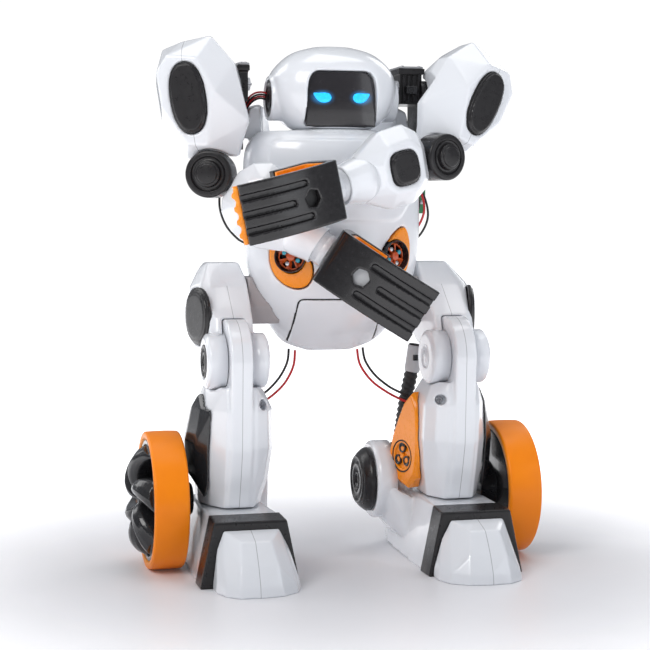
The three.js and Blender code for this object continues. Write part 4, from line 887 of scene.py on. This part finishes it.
for s, T, g in SIDES:
    th, sh, wh = f"thigh_{s}", f"shin_{s}", f"wheel_{s}"
    for k, (vx, it, mt) in SOFT.items():
        nd = NODES[f"{k}_{s}"]
        soft(nd, vx, it)
        nd.data.materials.clear(); nd.data.materials.append(M[mt])
    to = lambda dd, w0, w1: prism("to", ellipse(14.6 + dd, 14.9 + dd, 96, 2.3), THU, Z, THN, (73.6, 8.2, 129.8), w0, w1, T)
    ins = soft(fuse(f"thigh_oval_{s}", to(-0.05, -1.1, 0.9), to(-1.5, 0.6, 1.9), to(-3.6, 1.7, 2.25)), 0.4, 9, True)
    finish(ins, M["charcoal"], th, "charcoal", f"thigh_inset_{s}")
    ob_ = 79.0 if s == "L" else 77.5
    toe = hull(f"toe_{s}", [(35, -50, 0), (ob_, -50, 0), (35.1, -58.5, 0), (ob_ - 0.2, -59, 0), (38.4, -67.5, 0), (ob_ - 3.2, -68.5, 0), (46.5, -73.4, 0), (68.4, -74.2, 0), (57, -75.0, 0),
                            (35.4, -50, 5), (ob_ - 0.5, -50, 5), (35.7, -58, 5), (ob_ - 0.8, -58.6, 5), (39.2, -66.6, 5), (ob_ - 4, -67.6, 5), (47.2, -72.7, 5), (67.8, -73.4, 5), (57, -74.3, 5),
                            (39.6, -50, 20), (75.2, -50, 20), (44.0, -50, 28.6), (72.1, -50, 28.6), (48.2, -69.4, 14), (67.0, -70.2, 14), (50.6, -62, 24.8), (65.6, -62, 24.8), (41.6, -60, 13), (73.6, -60.6, 13)], T)
    toe = soft(toe, 0.5, 18, True)
    toe.name = f"toe_{s}"
    finish(toe, M["white_leg"], sh, "white", f"toe_cap_{s}")
    # knee drums, band and caps with true round faces
    kd = lathe(f"knee_drum_in_{s}", [(0, 43.2), (12.4, 43.2), *arc(12.6, 44.6, 1.42, -90, 0, 6), (14.03, 52.5), (0, 52.5)], (0, *KNEE), X, 96, T=T)
    finish(kd, M["white"], th, "white")
    kd = lathe(f"knee_drum_out_{s}", [(0, 64.5), (14.03, 64.5), *arc(12.6, 72.4, 1.43, 0, 90, 6), (12.4, 73.85), (10.2, 74.5), (9.0, 74.5), (8.8, 74.0), (8.8, 73.2), (0, 73.2)], (0, *KNEE), X, 96, T=T)
    finish(kd, M["white"], th, "white")
    kb = lathe(f"knee_band_{s}", [(0, 53.0), (20.0, 53.0), *arc(20.0, 54.05, 1.05, -90, 0, 5), *arc(20.0, 62.95, 1.05, 0, 90, 5), (20.0, 64.0), (0, 64.0)], (0, *KNEE), X, 128, T=T)
    finish(kb, M["white_leg"], sh, "white")
    kc = lathe(f"knee_cap_in_{s}", [(0, -43.4), (6.6, -43.4), (6.6, -42.9), *arc(6.3, -42.7, 0.3, 0, 90, 3), (5.6, -42.4), (5.3, -42.8), (4.9, -42.9), (4.6, -42.6), (0, -42.4)], (0, *KNEE), (-1, 0, 0), 64, T=T)
    finish(kc, M["light"], th, "light")
    kc = lathe(f"knee_cap_out_{s}", [(0, 73.0), (8.5, 73.0), (8.5, 74.2), *arc(8.1, 74.3, 0.4, 0, 90, 4), (6.9, 74.6), (6.6, 73.9), (5.4, 73.9), (5.1, 74.5), (3.6, 74.6), (3.3, 73.8), (1.6, 73.8), (1.4, 74.3), (0, 74.35)], (0, *KNEE), X, 72, T=T)
    finish(kc, M["charcoal"], th, "charcoal")
    screw(f"shin_screw_{s}", (47.85, -19.6, 86.05), (-0.15, -0.985, 0.1), 2.0, sh, boss=False, T=T)
    # turbine mark on the inner cover: ring, three dark ports and a hub, in the plane of the cover's face
    ya = rad(18) if s == "L" else 0.0
    fo, fn = (Vector((39, 0, 0)), Vector((-cos(ya), -sin(ya), 0))) if s == "L" else (Vector((41.8, 0, 0)), Vector((-1, 0, 0)))
    ft_ = Vector((-sin(ya), cos(ya), 0))
    on = lambda t, z, w: fo + ft_ * t + fn * w + Vector((0, 0, z))
    base = 2.0 if s == "L" else 3.25
    if s == "R":
        base = 0.7
        TEAR = [(-4, 89), (-8.4, 82), (-10.6, 70), (-10.6, 56), (-7, 43.5), (1, 37), (9, 39.5), (15.4, 46), (17.2, 55), (14.6, 64.5), (9, 74.5), (2.5, 84)]
        face = lambda z: catmull([45.0, 41.5, 40.0, 40.3, 43.0], min(3.999, (z - 34) / 15.2)) - 0.7
        cov = hull("cov", [(47, y, z) for y, z in TEAR] + [(face(z) + 0.5, y, z) for y, z in TEAR] + [(face(z), y, z) for y, z in offset(TEAR, -2.0)], T)
        cov = soft(cov, 0.4, 5, True)
        cov.name = "inner_cover_R"
        finish(cov, M["orange"], sh, "orange", "shin_panel_inner_R")
    ring = lathe(f"inner_cover_ring_{s}", [(7.9, 0), (8.7, 0), (8.7, 1.25), *arc(8.45, 1.3, 0.25, 0, 180, 4), (7.9, 1.2)], on(4, 54, base if s == "L" else base - 0.6), fn, 72, closed=True, T=T)
    finish(ring, M["dark"], sh, "black")
    for i in range(3):
        t = rad(120 * i + 90)
        pt = lathe(f"inner_cover_port_{s}_{i}", [(0, -0.3), (2.75, -0.3), (2.75, 1.1), *arc(2.45, 1.15, 0.3, 0, 90, 3), (1.9, 1.3), (1.7, 0.9), (0, 0.8)], on(4 + 4.5 * cos(t), 54 + 4.5 * sin(t), base if s == "L" else base - 0.4), fn, 36, T=T)
        finish(pt, M["black"], sh, "black")
    hub = lathe(f"inner_cover_hub_{s}", [(0, -0.4), (1.5, -0.4), (1.5, 1.0), *arc(1.1, 1.1, 0.4, 0, 90, 3), (0, 1.55)], on(4, 54, base if s == "L" else base - 0.4), fn, 32, T=T)
    finish(hub, M["orange"], sh, "orange")
    # wheel: cup-shaped rim with six swept blades
    out = 104.6 if s == "L" else 111.0
    parts = [lathe("cup", [(0, 78), (7.5, 78), (13.8, 84.4), (31.2, 84.6), (31.2, 101.0), *arc(30.8, 101.0, 0.4, 0, 90, 3), (28.9, 101.4), *arc(28.9, 101.1, 0.3, 90, 180, 3), (28.2, 91), (9, 91), (9, 100.6), *arc(8.2, 101.2, 0.8, 0, 60, 4), (6.3, 104.3), (0, 104.5)], (0, *AXLE), X, 112, T=T)]
    if s == "L":
        parts.append(lathe("nose", [(0, 102), (5.8, 102), (5.8, 104), (3.9, 110.6), *arc(3.3, 110.4, 0.6, 0, 90, 4), (2.0, 110.9), (1.8, 107.5), (0, 107.4)], (0, *AXLE), X, 48, T=T))
    else:
        parts.append(lathe("nut", [(0, 103), (3.6, 103), (3.6, 105.4), *arc(3.1, 105.5, 0.5, 0, 90, 3), (1.8, 105.9), (1.6, 104.9), (0, 104.8)], (0, *AXLE), X, 48, T=T))
    for i in range(6):
        verts, faces, m = [], [], 9
        steps = 16
        for q in range(steps + 1):
            k = q / steps
            r = 4.0 + 25.2 * k
            th0 = rad(60 * i + 14) + 0.62 * k ** 1.25
            hw = 1.9 + 6.4 * k ** 0.8
            crest = 101.6 + (out - 101.6) * sin(math.pi * min(1.0, 0.10 + 0.86 * k)) ** 0.62
            for v, x in ((-1.0, 89.5), (-1.0, crest - 4.6), (-0.86, crest - 2.6), (-0.42, crest - 0.7), (0.06, crest), (0.5, crest - 1.1), (0.88, crest - 3.2), (1.0, crest - 5.2), (1.0, 89.5)):
                tt = th0 + v * hw / r
                verts.append((x, AXLE[0] + r * cos(tt), AXLE[1] + r * sin(tt)))
        for q in range(steps):
            for v in range(m):
                w2 = (v + 1) % m
                faces.append((q * m + v, q * m + w2, (q + 1) * m + w2, (q + 1) * m + v))
        faces += [tuple(range(m)), tuple(steps * m + v for v in range(m))]
        parts.append(build("blade", verts, faces, T))
    rim = soft(fuse(f"wheel_rim_{s}", *parts), 0.42, 4, True)
    finish(rim, M["black"], wh, "black", f"rim_{s}")
    # tyre: crowned band with rounded shoulders and shallow circumferential grooves
    prof = [(31.6, 84.4), (34.2, 84.4), *arc(34.0, 85.7, 1.3, -70, 0, 5), (35.42, 88.2), (35.5, 91.0), (35.5, 95.4), (35.42, 98.2), *arc(34.0, 100.7, 1.3, 0, 70, 5), (34.2, 102.0), (32.6, 102.0), (31.6, 101.6)]
    ty = lathe(f"tyre_band_{s}", prof, (0, *AXLE), X, 160, closed=True, T=T)
    finish(ty, M["tyre"], wh, "tyre", f"tyre_{s}")
    # corrugated hose with a sleeve at the thigh and a collar at the foot
    hose, path = tube(f"leg_hose_{s}", HOSE, lambda t: 3.25 + 0.62 * (0.5 + 0.5 * cos(2 * math.pi * t * 21)) ** 0.7, 252, 28, T=T)
    hose.data.materials.append(M["hose"])
    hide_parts(f"hose_{s}")
    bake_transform(hose)
    slv, _ = tube(f"hose_sleeve_{s}", [(48.15, 21.45, 111.6), (47.6, 21.9, 107), (46.9, 22.4, 101.5), (46.2, 22.75, 97.2)], lambda t: 4.28 if 0.04 < t < 0.9 else 4.05, 40, 40, T=T)
    finish(slv, M["sleeve"], th, "grey")
    btn = box(f"hose_sleeve_catch_{s}", 45.4, 48.2, 17.3, 18.6, 103.4, 106.6, T)
    crisp(btn, 0.3, 2, 40)
    finish(btn, M["black"], th, "black")
    colr, _ = tube(f"hose_collar_{s}", [(38.95, 22.1, 58.4), (38.55, 22.0, 55.2)], lambda t: 4.9 if 0.1 < t < 0.9 else 4.6, 12, 40, T=T)
    finish(colr, M["charcoal"], sh, "charcoal")
    # motor wires
    for k, pts in WIRES.items():
        w, path = tube(f"{k}_tube_{s}", pts, 0.65, 60, 12, T=T)
        w.data.materials.append(M["red" if "red" in k else "blackwire"])
        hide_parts(f"{k}_{s}")
        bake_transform(w)

# drum motor at the left heel
DRUM, DX = (27.0, 38.5), 23.4
dr = lathe("drum_shell", [(0, DX), (17.4, DX), *arc(18.4, DX + 2.3, 2.6, -90, 0, 8), (21.02, DX + 5), (21.02, 33.5), (0, 33.5)], (0, *DRUM), X, 128)
finish(dr, M["white"], "shin_L", "white")
cap = lathe("motor_cap", [(r, x + DX - 17) for r, x in [(0, 16.6), (16.9, 16.6), (17.2, 16.2), (17.2, 14.6), (16.6, 13.6), (15.2, 11.9), (14.6, 11.3), (13.4, 10.4), *arc(12.4, 10.4, 0.8, 0, -90, 4), (11.2, 9.8), (10.9, 10.6), (9.6, 10.7), (9.3, 9.9),
                          (6.4, 9.8), (6.1, 10.8), (4.2, 10.9), (3.9, 9.9), (3.2, 9.8), (3.0, 12.8), (0, 13.0)]], (0, *DRUM), X, 96)
finish(cap, M["charcoal"], "shin_L", "charcoal", "motor_cap_L")
plug = lathe("motor_cap_plug", [(0, DX - 4.0), (2.2, DX - 4.0), (2.2, DX - 5.8), *arc(1.8, DX - 6.0, 0.4, 0, -90, 3), (0, DX - 6.4)], (0, *DRUM), X, 6)
finish(plug, M["dark"], "shin_L", "black")

# ------------------------------------------------- wires at the arms and head
for s, T, g in SIDES:
    red = [(54, 22, 206), (57, 19.5, 198), (57.5, 18.5, 189), (54.5, 20, 180.5), (49.0, 22, 174.5), (45.5, 22.5, 172)]
    blk = [(55, 24, 206), (59, 21.5, 197), (60.0, 20.0, 186), (56.5, 21, 176.5), (50.0, 23, 169.5), (45.5, 23.5, 167)]
    third = [(53, 23, 206), (55, 21.5, 199), (55.4, 20.5, 192), (53.0, 21.5, 185), (49.0, 23, 179.5), (45.5, 24, 177)]
    if s == "L":
        red, blk, third = ([(x - 6.5 + 2.0 * (206 - z) / 39, y + 1.0, 200 - (206 - z) * 0.92) for x, y, z in q] for q in (red, blk, third))
    for name, pts, mt in (("arm_wire_red", red, "red"), ("arm_wire_black", blk, "blackwire"), ("arm_wire_dark", third, "blackwire")):
        w, path = tube(f"{name}_{s}", pts, 0.6, 60, 12, T=T)
        w.data.materials.append(M[mt])
        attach(w, "trunk")
for i, (dz, mt) in enumerate([(0.0, "red"), (-1.6, "blackwire"), (-3.0, "red"), (-4.4, "blackwire")]):
    pts = [(-33.0, 27 + i * 0.9, 246.2 + dz * 0.7), (-36.4, 27.4 + i * 1.0, 246.8 + dz * 0.7), (-40.0, 29 + i, 245.9 + dz * 0.9), (-43.0, 31.5 + i, 242.6 + dz * 1.1), (-45.4, 35 + i, 236 + dz), (-46.4, 38.5 + i, 228 + dz), (-46.6, 41.5 + i * 0.5, 220.5 + dz)]
    w, path = tube(f"head_wire_{i}", pts, 0.5, 60, 12)
    w.data.materials.append(M[mt])
    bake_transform(w)

# ----------------------------------------------------------- stage and light
floor = bpy.data.meshes.new("floor")
bm = bmesh.new()
bmesh.ops.create_circle(bm, cap_ends=True, segments=96, radius=14.0)
bm.to_mesh(floor)
bm.free()
floor = bpy.data.objects.new("floor", floor)
COL.objects.link(floor)
fm = bpy.data.materials.new("pale_floor")
fm.use_nodes = True
ft = fm.node_tree
ft.nodes.clear()
FN = Net(ft)
fo = FN.node("ShaderNodeOutputMaterial")
fb = FN.node("ShaderNodeBsdfPrincipled", {"Base Color": (0.80, 0.80, 0.83), "Roughness": 0.45, "Emission Color": (1, 1, 1), "Emission Strength": 0.0})
fp = FN.node("ShaderNodeTexCoord").outputs["Object"]
# painted light and shadow: the floor glows more the further it is from the robot, so the dimmer floor round the robot
# is a painted shadow
dist = FN.node("ShaderNodeVectorMath", {0: fp}, operation="LENGTH").outputs["Value"]
ft.links.new(FN.ramp(dist, 0.10, 0.40, 0.02, 0.95), fb.inputs["Emission Strength"])
ft.links.new(FN.ramp(FN.noise(fp, 60.0, 3.0), 0.3, 0.7, 0.42, 0.48), fb.inputs["Roughness"])
ft.links.new(fb.outputs[0], fo.inputs[0])
floor.data.materials.append(fm)
floor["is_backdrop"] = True

world = bpy.data.worlds.new("world")
SCENE.world = world
world.use_nodes = True
wt = world.node_tree
wt.nodes.clear()
WN = Net(wt)
wo = WN.node("ShaderNodeOutputWorld")
wc = WN.node("ShaderNodeTexCoord").outputs["Generated"]
wz = WN.node("ShaderNodeSeparateXYZ", {0: wc}).outputs[2]
amb = WN.mix(WN.ramp(wz, -0.1, 0.9), (0.40, 0.42, 0.46), (0.74, 0.76, 0.80))
bg1 = WN.node("ShaderNodeBackground", {"Color": amb, "Strength": 0.52})
bg2 = WN.node("ShaderNodeBackground", {"Color": (1, 1, 1), "Strength": 1.05})
mixw = WN.node("ShaderNodeMixShader", {0: WN.node("ShaderNodeLightPath").outputs["Is Camera Ray"], 1: bg1.outputs[0], 2: bg2.outputs[0]})
wt.links.new(mixw.outputs[0], wo.inputs[0])


def area(name, loc, target, sx, sy, power, colour=(1, 1, 1)):
    l = bpy.data.lights.new(name, "AREA")
    l.shape, l.size, l.size_y, l.energy, l.color = "RECTANGLE", sx, sy, power, colour
    o = bpy.data.objects.new(name, l)
    COL.objects.link(o)
    o.location = loc
    o.rotation_mode = "QUATERNION"
    o.rotation_quaternion = (Vector(target) - Vector(loc)).to_track_quat("-Z", "Y")
    return o


area("key", (-1.05, -0.95, 1.15), (0, 0, 0.15), 0.75, 0.75, 11.0, (1.0, 0.99, 0.97))
area("fill", (0.95, -1.05, 0.55), (0, 0, 0.13), 0.6, 1.0, 2.4, (0.93, 0.96, 1.0))
area("top", (0.1, 0.1, 1.35), (0, 0, 0.1), 0.8, 0.8, 4.2)
area("rim_left", (-0.8, 0.75, 0.75), (0, 0, 0.16), 0.5, 0.9, 3.0)
area("rim_right", (0.85, 0.7, 0.7), (0, 0, 0.16), 0.5, 0.9, 2.6)

bpy.context.view_layer.update()
lo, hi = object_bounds()
